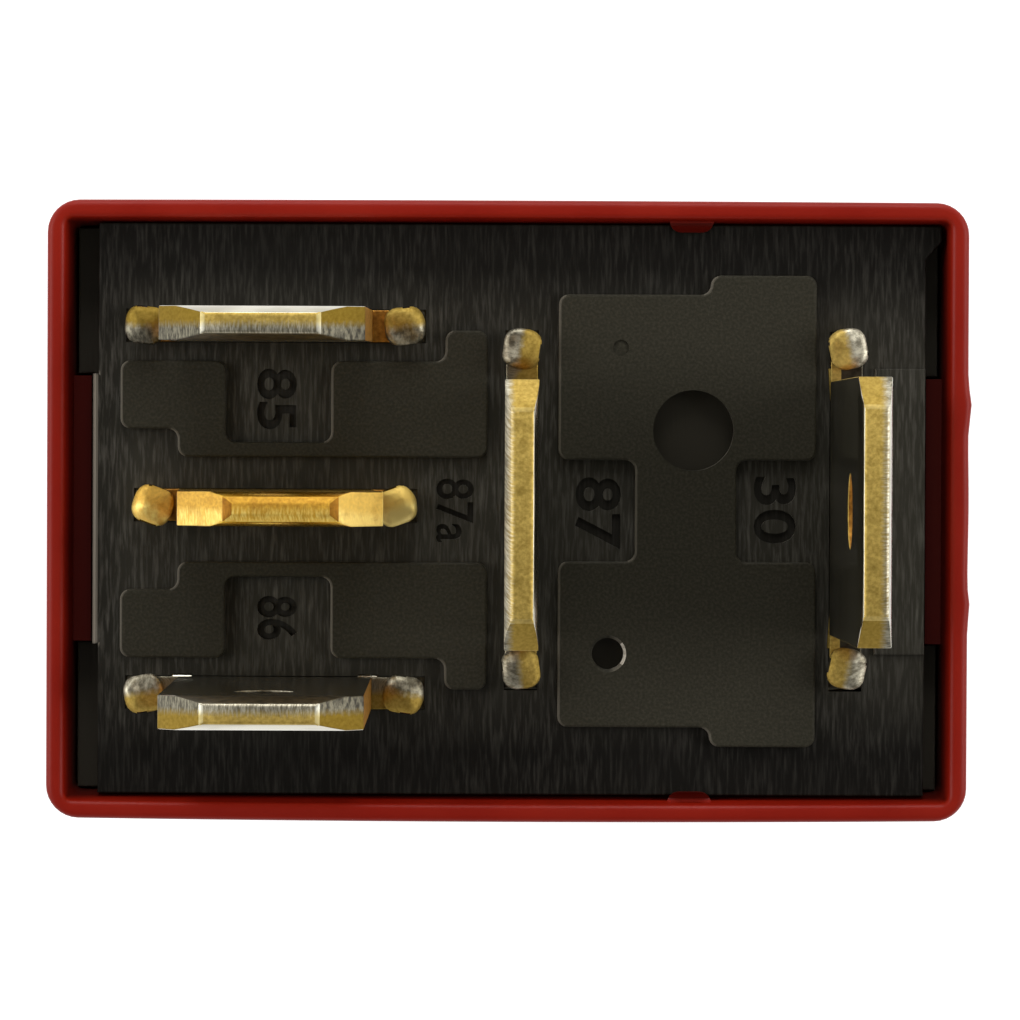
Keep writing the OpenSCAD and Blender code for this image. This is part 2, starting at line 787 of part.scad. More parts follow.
// Middle line of the bent leaf in the XZ plane: points, each with the angle that its outer face looks along
leaf_line = concat(
    let (a = open_deg - 90)
    [[pivot + polar(knee_r, a) + (yoke_out - leaf_tip) * [sin(a), -cos(a)], a]],
    [for (i = [0:bend_steps])
        let (a = open_deg - 90 + (90 - open_deg + knee_deg) * i / bend_steps)
        [pivot + polar(knee_r, a), a]],
    [for (i = [1:bend_steps])
        let (a = knee_deg * (1 - i / bend_steps))
        [[yoke_out + leaf_t / 2 + knee_r, leg_z] - polar(knee_r, a), a]],
    [[[yoke_out + leaf_t / 2, leg_top], 0]]
);

// Leaf that hinges the armature, pulls it open and carries the moving contact
module contact_spring() {
    outer = [for (p = leaf_line) p[0] + polar(leaf_t / 2, p[1])];
    inner = [for (p = leaf_line) p[0] - polar(leaf_t / 2, p[1])];
    side = [
        [yoke_out + 2 * knee_r, leaf_w / 2], [yoke_out - 4, leaf_w / 2], [core_x, leaf_tip_w / 2],
        [leaf_tip + tip_corner, leaf_tip_w / 2], [leaf_tip, leaf_tip_w / 2 - tip_corner]
    ];
    color("#c07f3c") difference() {
        intersection() {
            rotate([90, 0, 0])
                linear_extrude(leaf_w, center = true)
                    polygon(concat(outer, [for (i = [len(inner) - 1:-1:0]) inner[i]]));
            linear_extrude(leg_top + 1)
                polygon(concat(side, mirrored([for (i = [len(side) - 1:-1:0]) side[i]])));
        }
        block(
            [yoke_out - window_run, -window_w / 2, 0],
            [yoke_out + 2 * knee_r, window_w / 2, leg_z + window_run / 2]
        );
        opened() {
            translate([contact_x, 0, leaf_z - 1]) cylinder(h = leaf_t + 2, d = shank_d, $fn = fine);
            for (side = [-1, 1])
                translate([arm_rivet.x, side * arm_rivet.y, leaf_z - 1])
                    cylinder(h = leaf_t + 2, d = rivet_d, $fn = fine);
        }
        for (side = [-1, 1])
            translate([yoke_out - 1, side * spring_rivet_y, spring_rivet_z])
                rotate([0, 90, 0]) cylinder(h = leaf_t + 2, d = rivet_d, $fn = fine);
    }
}

// Double-headed contact rivet through the tip of the leaf
module moving_contact() {
    color("#d9d9d4") opened() translate([contact_x, 0, 0]) {
        translate([0, 0, armature_z]) head(contact_d);
        translate([0, 0, leaf_z]) cylinder(h = leaf_t, d = shank_d, $fn = fine);
        translate([0, 0, leaf_z]) mirror([0, 0, 1]) head(contact_d);
    }
}

module armature_rivets() {
    color("#b9a25c") opened()
        for (side = [-1, 1])
            translate([arm_rivet.x, side * arm_rivet.y, leaf_z]) rivet(leaf_t + armature_t);
}

// Rivets that join the leaf to the yoke
module spring_rivets() {
    color("#b9a25c")
        for (side = [-1, 1])
            translate([yoke_out + leaf_t, side * spring_rivet_y, spring_rivet_z])
                rotate([0, -90, 0]) rivet(leaf_t + yoke_t);
}

cover();
base();
terminal_30();
terminal_87();
terminal_87a();
terminal_85();
terminal_86();
yoke();
core();
bobbin();
winding();
coil_pin_85();
coil_pin_86();
terminal_rivets();
fixed_contact_87();
fixed_contact_87a();
armature();
contact_spring();
moving_contact();
armature_rivets();
spring_rivets();
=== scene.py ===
import math

import bmesh
import bpy
from mathutils import Matrix, Vector


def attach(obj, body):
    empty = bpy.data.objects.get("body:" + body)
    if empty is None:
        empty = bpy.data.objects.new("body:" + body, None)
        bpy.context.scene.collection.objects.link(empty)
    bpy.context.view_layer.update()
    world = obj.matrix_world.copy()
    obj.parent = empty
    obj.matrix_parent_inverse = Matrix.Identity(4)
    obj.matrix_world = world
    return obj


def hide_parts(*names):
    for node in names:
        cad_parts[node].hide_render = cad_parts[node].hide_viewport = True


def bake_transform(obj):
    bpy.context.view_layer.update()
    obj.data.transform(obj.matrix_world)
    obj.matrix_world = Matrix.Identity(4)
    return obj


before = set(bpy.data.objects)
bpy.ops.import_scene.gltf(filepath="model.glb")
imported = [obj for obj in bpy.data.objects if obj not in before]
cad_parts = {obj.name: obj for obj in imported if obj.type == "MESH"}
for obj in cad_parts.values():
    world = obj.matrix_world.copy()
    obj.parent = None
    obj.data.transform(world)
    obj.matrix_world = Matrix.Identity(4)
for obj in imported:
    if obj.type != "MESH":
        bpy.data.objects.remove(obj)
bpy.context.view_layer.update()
print("frame loaded")

# Everything new is modelled in millimetres and brought to metres when it is finished.
mm = 0.001
touch = 0.001       # mm, what is closer than this counts as the same place


def deselectAll():
    if bpy.context.mode != "OBJECT":
        bpy.ops.object.mode_set(mode="OBJECT")
    bpy.ops.object.select_all(action="DESELECT")


def makeActive(*pieces):
    deselectAll()
    for piece in pieces:
        piece.select_set(True)
    bpy.context.view_layer.objects.active = pieces[0]


def editPiece(piece):
    makeActive(piece)
    bpy.ops.object.mode_set(mode="EDIT")
    bpy.ops.mesh.select_all(action="SELECT")


def pick(piece, kind, test):
    # selects the faces, edges or vertices that pass the test, and nothing else
    bpy.ops.mesh.select_mode(type=kind)
    bpy.ops.mesh.select_all(action="DESELECT")
    mesh = bmesh.from_edit_mesh(piece.data)
    parts = {"FACE": mesh.faces, "EDGE": mesh.edges, "VERT": mesh.verts}[kind]
    for part in parts:
        if test(part):
            part.select_set(True)
    mesh.select_flush_mode()
    bmesh.update_edit_mesh(piece.data)


def sliceAt(point, normal, **clear):
    bpy.ops.mesh.select_all(action="SELECT")
    bpy.ops.mesh.bisect(plane_co=point, plane_no=normal, **clear)


def sliceAlong(axis, places):
    normal = Vector([letter == axis for letter in "XYZ"])
    for place in places:
        sliceAt(normal * place, normal)


def cutAway(point, normal):
    # what lies beyond the cut goes, and the mesh is closed again
    sliceAt(point, normal, clear_outer=True, use_fill=True)


def isLevel(edge, height):
    return all(abs(v.co.z - height) < touch for v in edge.verts)


def isUpright(edge):
    a, b = edge.verts
    return abs(a.co.x - b.co.x) < touch and abs(a.co.y - b.co.y) < touch


def addBlock(name, low, high):
    deselectAll()
    bpy.ops.mesh.primitive_cube_add(size=1)
    piece = bpy.context.active_object
    piece.name = piece.data.name = name
    piece.location = [(a + b) / 2 for a, b in zip(low, high)]
    piece.scale = [b - a for a, b in zip(low, high)]
    bpy.ops.object.transform_apply(location=True, rotation=True, scale=True)
    return piece


def addRod(name, centre, radius, length, turn=(0, 0, 0)):
    deselectAll()
    bpy.ops.mesh.primitive_cylinder_add(vertices=48, radius=radius, depth=length, location=centre, rotation=turn)
    piece = bpy.context.active_object
    piece.name = piece.data.name = name
    bpy.ops.object.transform_apply(location=True, rotation=True, scale=True)
    return piece


def insideOutline(x, y, outline):
    inside = False
    for (ax, ay), (bx, by) in zip(outline, outline[1:] + outline[:1]):
        if (ay > y) != (by > y) and x < ax + (bx - ax) * (y - ay) / (by - ay):
            inside = not inside
    return inside


def addSlab(name, outline, low, high, corner=0, edge=0):
    # a plane is sliced along the outline's own lines, what lies outside is deleted, and the rest is raised
    xs = sorted({p[0] for p in outline})
    ys = sorted({p[1] for p in outline})
    deselectAll()
    bpy.ops.mesh.primitive_plane_add(size=1)
    piece = bpy.context.active_object
    piece.name = piece.data.name = name
    piece.location = ((xs[0] + xs[-1]) / 2, (ys[0] + ys[-1]) / 2, low)
    piece.scale = (xs[-1] - xs[0], ys[-1] - ys[0], 1)
    bpy.ops.object.transform_apply(location=True, rotation=True, scale=True)
    editPiece(piece)
    sliceAlong("X", xs[1:-1])
    sliceAlong("Y", ys[1:-1])
    pick(piece, "FACE", lambda f: not insideOutline(*f.calc_center_median().xy, outline))
    bpy.ops.mesh.delete(type="FACE")
    bpy.ops.mesh.select_all(action="SELECT")
    bpy.ops.mesh.dissolve_limited(angle_limit=0.01)
    if corner:
        bpy.ops.mesh.select_mode(type="VERT")
        bpy.ops.mesh.select_all(action="SELECT")
        bpy.ops.mesh.bevel(offset=corner, segments=5, affect="VERTICES")
    bpy.ops.mesh.select_mode(type="FACE")
    bpy.ops.mesh.select_all(action="SELECT")
    bpy.ops.mesh.extrude_region_move(TRANSFORM_OT_translate={"value": (0, 0, high - low)})
    bpy.ops.mesh.select_all(action="SELECT")
    bpy.ops.mesh.normals_make_consistent(inside=False)
    if edge:
        pick(piece, "EDGE", lambda e: isLevel(e, high))
        bpy.ops.mesh.bevel(offset=edge, segments=3, affect="EDGES", profile=0.5)
    bpy.ops.object.mode_set(mode="OBJECT")
    return piece


def combine(piece, other, operation):
    makeActive(piece)
    joint = piece.modifiers.new("combine", "BOOLEAN")
    joint.operation = operation
    joint.solver = "EXACT"
    joint.object = other
    bpy.ops.object.modifier_apply(modifier=joint.name)
    makeActive(other)
    bpy.ops.object.delete()


def roundEdges(piece, width):
    makeActive(piece)
    soften = piece.modifiers.new("soften", "BEVEL")
    soften.width = width
    soften.segments = 2
    soften.limit_method = "ANGLE"
    soften.angle_limit = math.radians(30)
    soften.use_clamp_overlap = True
    bpy.ops.object.modifier_apply(modifier=soften.name)


def copyNode(node, name):
    # a CAD node's mesh as one closed surface, in millimetres
    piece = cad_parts[node].copy()
    piece.data = piece.data.copy()
    piece.parent = None
    for key in list(piece.keys()):
        del piece[key]
    bpy.context.scene.collection.objects.link(piece)
    piece.name = piece.data.name = name
    piece.data.transform(Matrix.Scale(1 / mm, 4))
    editPiece(piece)
    bpy.ops.mesh.remove_doubles(threshold=0.0005)
    bpy.ops.mesh.dissolve_limited(angle_limit=0.005)
    bpy.ops.mesh.quads_convert_to_tris()
    bpy.ops.object.mode_set(mode="OBJECT")
    return piece


def setMaterials(piece, *materials):
    piece.data.materials.clear()
    for material in materials:
        piece.data.materials.append(material)


def bringToMetres(piece, smooth):
    makeActive(piece)
    piece.scale = (mm, mm, mm)
    bpy.ops.object.transform_apply(location=True, rotation=True, scale=True)
    bpy.ops.object.shade_smooth_by_angle(angle=math.radians(smooth))


def finishPiece(piece, body, smooth=30):
    bringToMetres(piece, smooth)
    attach(piece, body)


# Materials
def linear(hexText):
    channels = [int(hexText[i : i + 2], 16) / 255 for i in (1, 3, 5)]
    return [c / 12.92 if c <= 0.04045 else ((c + 0.055) / 1.055) ** 2.4 for c in channels] + [1]


def perMetre(sizeInMm):
    # scale of a noise whose features are about this size, on coordinates in metres
    return 1 / (sizeInMm * mm)


def addNode(tree, kind, settings=None):
    # sets properties and inputs, where a socket is linked and a hex text is a colour, and returns the outputs
    node = tree.nodes.new("ShaderNode" + kind)
    for name, value in (settings or {}).items():
        if isinstance(name, str) and name in node.bl_rna.properties:
            setattr(node, name, value)
        elif isinstance(value, bpy.types.NodeSocket):
            tree.links.new(value, node.inputs[name])
        else:
            node.inputs[name].default_value = linear(value) if isinstance(value, str) else value
    return node.outputs


def startMaterial(name, **finish):
    material = bpy.data.materials.new(name)
    material.use_nodes = True
    tree = material.node_tree
    shader = tree.nodes["Principled BSDF"]
    for socket, value in finish.items():
        shader.inputs[socket.replace("_", " ")].default_value = value
    return material, tree, shader


def layColours(tree, colour, *layers):
    # each layer covers what lies below it by its own factor
    for factor, top in layers:
        colour = addNode(tree, "Mix", {"data_type": "RGBA", 0: factor, 6: colour, 7: top})[2]
    return colour


def dressShader(tree, shader, colour, relief, strength, depth, gloss=None):
    # depth is the relief's, in mm; gloss spreads a pattern over a range of roughness
    bump = addNode(tree, "Bump", {"Strength": strength, "Distance": depth * mm, "Height": relief})
    tree.links.new(colour, shader.inputs["Base Color"])
    tree.links.new(bump["Normal"], shader.inputs["Normal"])
    if gloss:
        tree.links.new(addNode(tree, "MapRange", gloss)[0], shader.inputs["Roughness"])


redCover = {
    "face": "#831303",       # pigmented PA66, a little paler where it is rubbed
    "pale": "#92200f",
    "inside": "#4a0902",     # painted shade, darker inside the cavity and on the rim's inner slope
    "spark": 0.09,           # mm, grain of the spark-eroded mould
    "cloud": 2.5,            # mm, slow change of tone
    # mm from the middle and from the floor, where the outside ends and the inside begins
    "cavity": {"X": (10.95, 10.87), "Y": (7.2, 7.12), "Z": (25.37, 25.25)},
}


def redNylonMaterial():
    # moulded PA66: semi-gloss, with the mould's fine spark grain
    material, tree, shader = startMaterial("mouldedRedNylon", Roughness=0.42, IOR=1.53, Specular_IOR_Level=0.17)
    at = addNode(tree, "TexCoord")["Object"]
    cloud, grain = [
        addNode(tree, "TexNoise", {"Scale": perMetre(size), "Detail": detail, "Vector": at})["Fac"]
        for size, detail in ((redCover["cloud"], 3.0), (redCover["spark"], 2.0))
    ]
    tone = addNode(tree, "MapRange", {"From Min": 0.35, "From Max": 0.75, "To Max": 0.5, "Value": cloud})[0]
    place = addNode(tree, "SeparateXYZ", {"Vector": at})
    # painted shade: the cavity's inner faces, the rim's inner slope among them, take the darker inside colour
    inside = 1.0
    for axis, (outer, inner) in redCover["cavity"].items():
        away = addNode(tree, "Math", {"operation": "ABSOLUTE", 0: place[axis]})[0]
        level = addNode(tree, "MapRange", {"From Min": outer * mm, "From Max": inner * mm, "Value": away})[0]
        inside = addNode(tree, "Math", {"operation": "MULTIPLY", 0: inside, 1: level})[0]
    colour = layColours(tree, redCover["face"], (tone, redCover["pale"]), (inside, redCover["inside"]))
    dressShader(tree, shader, colour, grain, 0.25, 0.01, {"To Min": 0.36, "To Max": 0.48, "Value": grain})
    return material


blackBase = {
    "deck": "#2e2c25",
    "paintedWallShade": "#0f0d09",   # painted shade towards the long walls and the left end
    "streak": "#54514a",
    "paintedRecessShade": "#15130f",     # painted shade on what lies below the deck's face, the numbers' floors among it
    "markFloor": "#2f2c24",
    "land": "#2a281f",
    "landSpeck": "#38352b",
    "paintedEdgeHighlight": "#968e80",       # painted highlight on edges turned to the left
    # painted light, which lightens the deep channel beside the tab against its shade
    "paintedChannelLight": "#4e493f",
    "streakWidth": 0.085,    # mm, cutter marks of the mould's floor, coarser than real so that they show
    "streakLength": 0.9,     # mm
    "patch": 1.8,            # mm, where the streaks come and go
    "grain": 0.07,           # mm
    # where each zone begins and where it is full: axis and mm, Off is the distance from the middle along Y
    "zones": {
        "middle": ("Off", 6.0, 3.6),         # the streaks fade, and painted shade darkens the deck, towards the long walls
        "leftEnd": ("X", -9.2, -9.9),        # painted shade darkens the deck towards its left end
        "onLand": ("Z", 25.09, 25.15),
        "paintedRecessShade": ("Z", 24.86, 24.8),
        "markFloor": ("Z", 24.78, 24.74),
        "paintedChannelLight": ("Z", 24.4, 24.3),
        "overMarks": ("Z", 24.76, 24.84),
        "underLands": ("Z", 25.0, 24.94),
        "inward": ("X", -10.05, -9.95),
        "atTab": ("Off", 3.45, 3.3),
    },
    "landHighlightShare": 0.4,         # the lands' edges get this share of the deck's painted highlight
}


def blackNylonMaterial():
    # glass-filled PA66: the mould's milled floor leaves streaks on the deck, its polished pads leave the lands fine
    # and the radii of the edges glossy
    material, tree, shader = startMaterial("mouldedBlackNylon", Roughness=0.55, IOR=1.53, Specular_IOR_Level=0.1)
    at = addNode(tree, "TexCoord")["Object"]
    place = addNode(tree, "SeparateXYZ", {"Vector": at})
    off = addNode(tree, "Math", {"operation": "ABSOLUTE", 0: place["Y"]})[0]
    zone = {}
    for name, (axis, start, full) in blackBase["zones"].items():
        zone[name] = addNode(tree, "MapRange", {
            "From Min": start * mm, "From Max": full * mm, "Value": off if axis == "Off" else place[axis],
            "To Min": blackBase["landHighlightShare"] if name == "underLands" else 0,
        })[0]
    stretch = addNode(tree, "Mapping", {
        "Scale": (perMetre(blackBase["streakWidth"]), perMetre(blackBase["streakLength"]), perMetre(1)), "Vector": at,
    })[0]
    streak = addNode(tree, "TexNoise", {"Scale": 1.0, "Detail": 4.0, "Roughness": 0.6, "Vector": stretch})["Fac"]
    patch, grain = [
        addNode(tree, "TexNoise", {"Scale": perMetre(size), "Detail": detail, "Vector": at})["Fac"]
        for size, detail in ((blackBase["patch"], 2.0), (blackBase["grain"], 3.0))
    ]
    streakTone, patchTone, grainTone = [
        addNode(tree, "MapRange", {"From Min": low, "From Max": high, "To Min": least, "Value": source})[0]
        for low, high, least, source in ((0.46, 0.74, 0, streak), (0.3, 0.65, 0.45, patch), (0.4, 0.75, 0, grain))
    ]
    # lit is where the deck keeps its own colour; painted shade darkens it towards the long walls and the left end
    lively, lit = [
        addNode(tree, "Math", {"operation": "MULTIPLY_ADD", 0: zone[name], 1: slope, 2: start})[0]
        for name, slope, start in (("middle", 0.75, 0.25), ("leftEnd", -0.45, 1.0))
    ]
    # painted highlight on faces turned to the left, but at the left end only on the tab's
    facing = addNode(tree, "SeparateXYZ", {
        "Vector": addNode(tree, "NewGeometry")["Normal"]
    })
    paintedEdgeHighlight = addNode(tree, "MapRange", {"From Min": -0.05, "From Max": -0.4, "To Max": 0.8, "Value": facing["X"]})[0]
    rubbedAndHighlit = addNode(tree, "Math", {"operation": "MAXIMUM", 0: zone["inward"], 1: zone["atTab"]})[0]
    product = {}
    for name, factors in {
        "streak": (streakTone, patchTone, lively), "lit": (lit, zone["middle"]),
        "paintedEdgeHighlight": (paintedEdgeHighlight, zone["overMarks"], zone["underLands"], rubbedAndHighlit),
    }.items():
        product[name] = factors[0]
        for factor in factors[1:]:
            product[name] = addNode(tree, "Math", {"operation": "MULTIPLY", 0: product[name], 1: factor})[0]
    land = layColours(tree, blackBase["land"], (grainTone, blackBase["landSpeck"]))
    colour = layColours(
        tree, blackBase["paintedWallShade"], (product["lit"], blackBase["deck"]), (product["streak"], blackBase["streak"]),
        (zone["paintedRecessShade"], blackBase["paintedRecessShade"]), (zone["markFloor"], blackBase["markFloor"]),
        (zone["paintedChannelLight"], blackBase["paintedChannelLight"]), (zone["onLand"], land), (product["paintedEdgeHighlight"], blackBase["paintedEdgeHighlight"]),
    )
    relief = addNode(tree, "Mix", {"data_type": "FLOAT", 0: zone["onLand"], 2: streak, 3: grain})[0]
    dressShader(tree, shader, colour, relief, 0.4, 0.02, {
        "From Min": 0.85, "From Max": 0.98, "To Min": 0.48, "To Max": 0.6, "Value": facing["Z"],
    })
    return material


plating = {
    "tin": "#c6c2b1",
    "tinDull": "#aca795",
    "tinRubbed": "#c4b07c",
    "bareBrass": "#f1c54c",
    "bareBrassDark": "#c08a28",
    "drawn": 0.05,           # mm, rolling lines along the strip
    "drawnLength": 3,        # mm
    "stain": 1.4,            # mm, slow stains of the faces
    "fracture": 0.08,        # mm, grain of the torn half of a sheared edge
    "drag": 0.05,            # mm, the die's drag lines on the burnished half
    "blotch": 0.35,          # mm, stains of the sheared edges
}

# each pair is the darker and the lighter tone; stained pairs are real stains and painted shade, bright is painted light
tinnedEdge = {
    "torn": ("#b4984b", "#dcc06b"), "burnish": ("#8b8470", "#d9d2bb"),
    "stainedAndShadedTorn": ("#7d6622", "#8f762e"), "stainedAndShadedBurnish": ("#45423a", "#837e6c"),
    "bright": ("#e0cf92", "#dedac8"),
}
bareEdge = {
    "torn": ("#b98623", "#dfae3c"), "burnish": ("#e3ae38", "#ffe178"),
    "stainedAndShadedTorn": ("#93600f", "#b27a1a"), "stainedAndShadedBurnish": ("#93600f", "#b27a1a"),
    "bright": ("#ffdd78", "#ffe690"),
}


def plateMaterial(name, clean, dull, rubbedAndHighlit, roughness):
    # rolled strip: fine lines along its length, with slow stains; the tin is hot-dipped and slightly cloudy
    material, tree, shader = startMaterial(name, Metallic=1.0, Roughness=roughness)
    at = addNode(tree, "TexCoord")["Object"]
    across = perMetre(plating["drawn"])
    stretch = addNode(tree, "Mapping", {"Scale": (across, across, perMetre(plating["drawnLength"])), "Vector": at})[0]
    lines, stain = [
        addNode(tree, "TexNoise", {"Scale": scale, "Detail": detail, "Vector": source})["Fac"]
        for scale, detail, source in ((1.0, 2.0, stretch), (perMetre(plating["stain"]), 4.0, at))
    ]
    lineTone, stainTone = [
        addNode(tree, "MapRange", {"From Min": low, "From Max": high, "To Max": most, "Value": source})[0]
        for low, high, most, source in ((0.6, 0.8, 0.4, lines), (0.45, 0.7, 1, stain))
    ]
    colour = layColours(tree, clean, (stainTone, dull), (lineTone, rubbedAndHighlit))
    dressShader(tree, shader, colour, lines, 0.06, 0.004, {
        "To Min": roughness - 0.06, "To Max": roughness + 0.08, "Value": stain,
    })
    return material


def shearedMaterial(name, edge, metallic, roughness):
    # a sheared edge: half its thickness is torn and grainy, half is burnished by the die, with drag lines
    material, tree, shader = startMaterial(name, Metallic=metallic, Roughness=roughness)
    at = addNode(tree, "TexCoord")["Object"]
    across, along, tone = [
        addNode(tree, "Attribute", {"attribute_name": stored})["Fac"]
        for stored in ("across", "along", "tone")
    ]
    grain, blotch = [
        addNode(tree, "TexNoise", {"Scale": perMetre(plating[size]), "Detail": 3.0, "Vector": at})["Fac"]
        for size in ("fracture", "blotch")
    ]
    strips = addNode(tree, "CombineXYZ", {"X": along, "Y": across})[0]
    strips = addNode(tree, "Mapping", {"Scale": (1 / plating["drag"], 1.6, 1), "Vector": strips})[0]
    drag = addNode(tree, "TexNoise", {
        "noise_dimensions": "2D", "Scale": 1.0, "Detail": 4.0, "Roughness": 0.65, "Vector": strips,
    })["Fac"]
    # the border between the halves is toothed by the drag lines
    side = addNode(tree, "Math", {"operation": "MULTIPLY_ADD", 0: drag, 1: 0.5, 2: -0.25})[0]
    side = addNode(tree, "Math", {"operation": "ADD", 0: across, 1: side})[0]
    burnished, grainTone, dragTone, blotchTone, paintedShade, bright = [
        addNode(tree, "MapRange", {"From Min": low, "From Max": high, "To Max": most, "Value": source})[0]
        for low, high, most, source in (
            (-0.15, 0.3, 1, side), (0.3, 0.7, 1, grain), (0.38, 0.64, 1, drag), (0.5, 0.75, 0.45, blotch),
            (0, 1, 1, tone), (0, -1, 1, tone),
        )
    ]
    clean, stainedAndShaded = [
        layColours(
            tree, edge[torn][0], (grainTone, edge[torn][1]),
            (burnished, layColours(tree, edge[burnish][0], (dragTone, edge[burnish][1]))),
        )
        for torn, burnish in (("torn", "burnish"), ("stainedAndShadedTorn", "stainedAndShadedBurnish"))
    ]
    # painted light and shade: the tone lays painted shade above 0 and painted light below 0; the blotches are real
    # stains
    shining = layColours(tree, edge["bright"][0], (burnished, edge["bright"][1]))
    colour = layColours(tree, clean, (paintedShade, stainedAndShaded), (bright, shining), (blotchTone, stainedAndShaded))
    relief = addNode(tree, "Mix", {"data_type": "FLOAT", 0: burnished, 2: grain, 3: drag})[0]
    dressShader(tree, shader, colour, relief, 0.3, 0.01, {
        "To Min": roughness + 0.04, "To Max": roughness - 0.1, "Value": burnished,
    })
    return material


def grainedMaterial(name, colour, second, grain, metallic, roughness, stretch=(1, 1, 1)):
    # for the parts inside, the tarnish, the oxide and the pit rim's painted highlight:
    # two tones, a grain of a real size in mm, and its relief
    material, tree, shader = startMaterial(name, Metallic=metallic, Roughness=roughness)
    at = addNode(tree, "TexCoord")["Object"]
    scaled = addNode(tree, "Mapping", {"Scale": [perMetre(grain) * s for s in stretch], "Vector": at})[0]
    pattern = addNode(tree, "TexNoise", {"Scale": 1.0, "Detail": 3.0, "Vector": scaled})["Fac"]
    tone = addNode(tree, "MapRange", {"From Min": 0.35, "From Max": 0.7, "Value": pattern})[0]
    dressShader(tree, shader, layColours(tree, colour, (tone, second)), pattern, 0.3, 0.006, {
        "To Min": roughness - 0.07, "To Max": roughness + 0.07, "Value": pattern,
    })
    return material


coil = {"wire": 0.25, "enamel": "#8e4a22", "gap": "#4a2010"}     # wire is the pitch of the outer turns, in mm


def enamelledCopperMaterial():
    # wound magnet wire: round turns side by side, under a glossy amber enamel
    material, tree, shader = startMaterial(
        "enamelledCopperWire", Metallic=0.85, Roughness=0.28, Coat_Weight=0.6, Coat_Roughness=0.15
    )
    at = addNode(tree, "TexCoord")["Object"]
    height = addNode(tree, "SeparateXYZ", {"Vector": at})["Z"]
    turned = addNode(tree, "Math", {"operation": "MULTIPLY", 0: height, 1: 2 * math.pi * perMetre(coil["wire"])})[0]
    wave = addNode(tree, "Math", {"operation": "SINE", 0: turned})[0]
    tone = addNode(tree, "MapRange", {"From Min": -1.0, "From Max": 0.2, "Value": wave})[0]
    dressShader(tree, shader, layColours(tree, coil["gap"], (tone, coil["enamel"])), wave, 0.7, 0.08)
    return material


redNylon = redNylonMaterial()
blackNylon = blackNylonMaterial()
tinPlate = plateMaterial("hotTinnedBrass", plating["tin"], plating["tinDull"], plating["tinRubbed"], 0.16)
brassPlate = plateMaterial(
    "rolledBareBrass", plating["bareBrass"], plating["bareBrassDark"], bareEdge["bright"][0], 0.24
)
shearedTinned = shearedMaterial("shearedTinnedEdge", tinnedEdge, 1.0, 0.6)
shearedBare = shearedMaterial("shearedBareEdge", bareEdge, 0.6, 0.55)
# a pale copy of the black nylon, painted highlight for the pit rim's faces turned to the left
pitRimHighlight = grainedMaterial("pitRimPaintedHighlight", "#d9d1c2", "#a59c8e", 0.1, 0.0, 0.35)
# tarnish and oxide, which also stand in as painted shade on the blades' ends and holes
oxidisedAndShadedTin = grainedMaterial("oxidisedAndShadedTin", "#5b5547", "#3c382e", 0.2, 0.9, 0.45)
tarnishedAndShadedBrass = grainedMaterial("tarnishedAndShadedBrass", "#c8913c", "#86591f", 0.15, 0.8, 0.5)
zincIron = grainedMaterial("zincPlatedIron", "#a7a9a8", "#8b8d8c", 0.4, 1.0, 0.34)
polishedIron = grainedMaterial("nickelPlatedIron", "#b9b6ad", "#9d9a92", 0.3, 1.0, 0.26)
naturalNylon = grainedMaterial("glassFilledNaturalNylon", "#d2c9b2", "#bfb59b", 0.2, 0.0, 0.5, (1, 1, 0.3))
tinnedWire = grainedMaterial("tinnedSquarePin", "#c4c1b8", "#9b968a", 0.15, 1.0, 0.3, (1, 1, 0.1))
turnedBrass = grainedMaterial("headedBrassRivet", "#c29a45", "#96732f", 0.12, 1.0, 0.32)
silverAlloy = grainedMaterial("silverTinOxide", "#d5d2cb", "#b3aea5", 0.1, 1.0, 0.38)
springCopper = grainedMaterial("rolledSpringCopper", "#b9713c", "#8f5128", 0.08, 1.0, 0.27, (0.05, 1, 1))
enamelledCopper = enamelledCopperMaterial()
print("materials made")


# Cover
cover = {
    "length": 22.8, "width": 15.3, "height": 25.4,
    "wall": 0.6, "endWall": 0.8, "draft": 0.1,
    "corner": 0.8, "endRound": 0.5, "rimOut": 0.16, "rimIn": 0.12,
    "lip": 0.17, "lipDeep": 1.1,        # the rim's inner face slopes back this far
    "stepX": 0.9, "stepY": 0.38, "levels": (15, 20, 23, 24.4),      # lines that let the walls swell
    # how far the long walls swell at the rim, from which height, and the share of it at +Y
    "bow": 0.07, "bowFrom": 12, "bowBack": 0.3,
    # place, height and reach of the swellings at +X, and the height they start at
    "gates": [(2.62, 0.09, 0.42), (-2.35, 0.06, 0.35), (0.2, 0.025, 1.2)], "gateFrom": 23.2,
    "nubX": 4.54, "nubLong": 1.1, "nubOut": {1: 0.15, -1: 0.09}, "nubIn": 0.3, "nubRound": 0.3,
    "nubLow": 24.93, "nubTop": 25.0,
    "pads": [(-10.9, -10.36), (10.41, 10.9)], "padHalf": 3.3, "padLow": 22.6, "padTop": 24.3,
    "ribHalf": 0.55, "ribIn": 0.4, "ribLow": 0.5, "ribTop": 22.0,
}


def isRimOutline(edge):
    # the rim's outer line: straight at a wall, or on a corner's outer arc
    centre = (edge.verts[0].co + edge.verts[1].co) / 2
    x, y = abs(centre.x), abs(centre.y)
    halfL, halfW, corner = cover["length"] / 2, cover["width"] / 2, cover["corner"]
    if x > halfL - corner and y > halfW - corner:
        return math.hypot(x - halfL + corner, y - halfW + corner) > corner - 0.1
    return x > halfL - 0.05 or y > halfW - 0.05


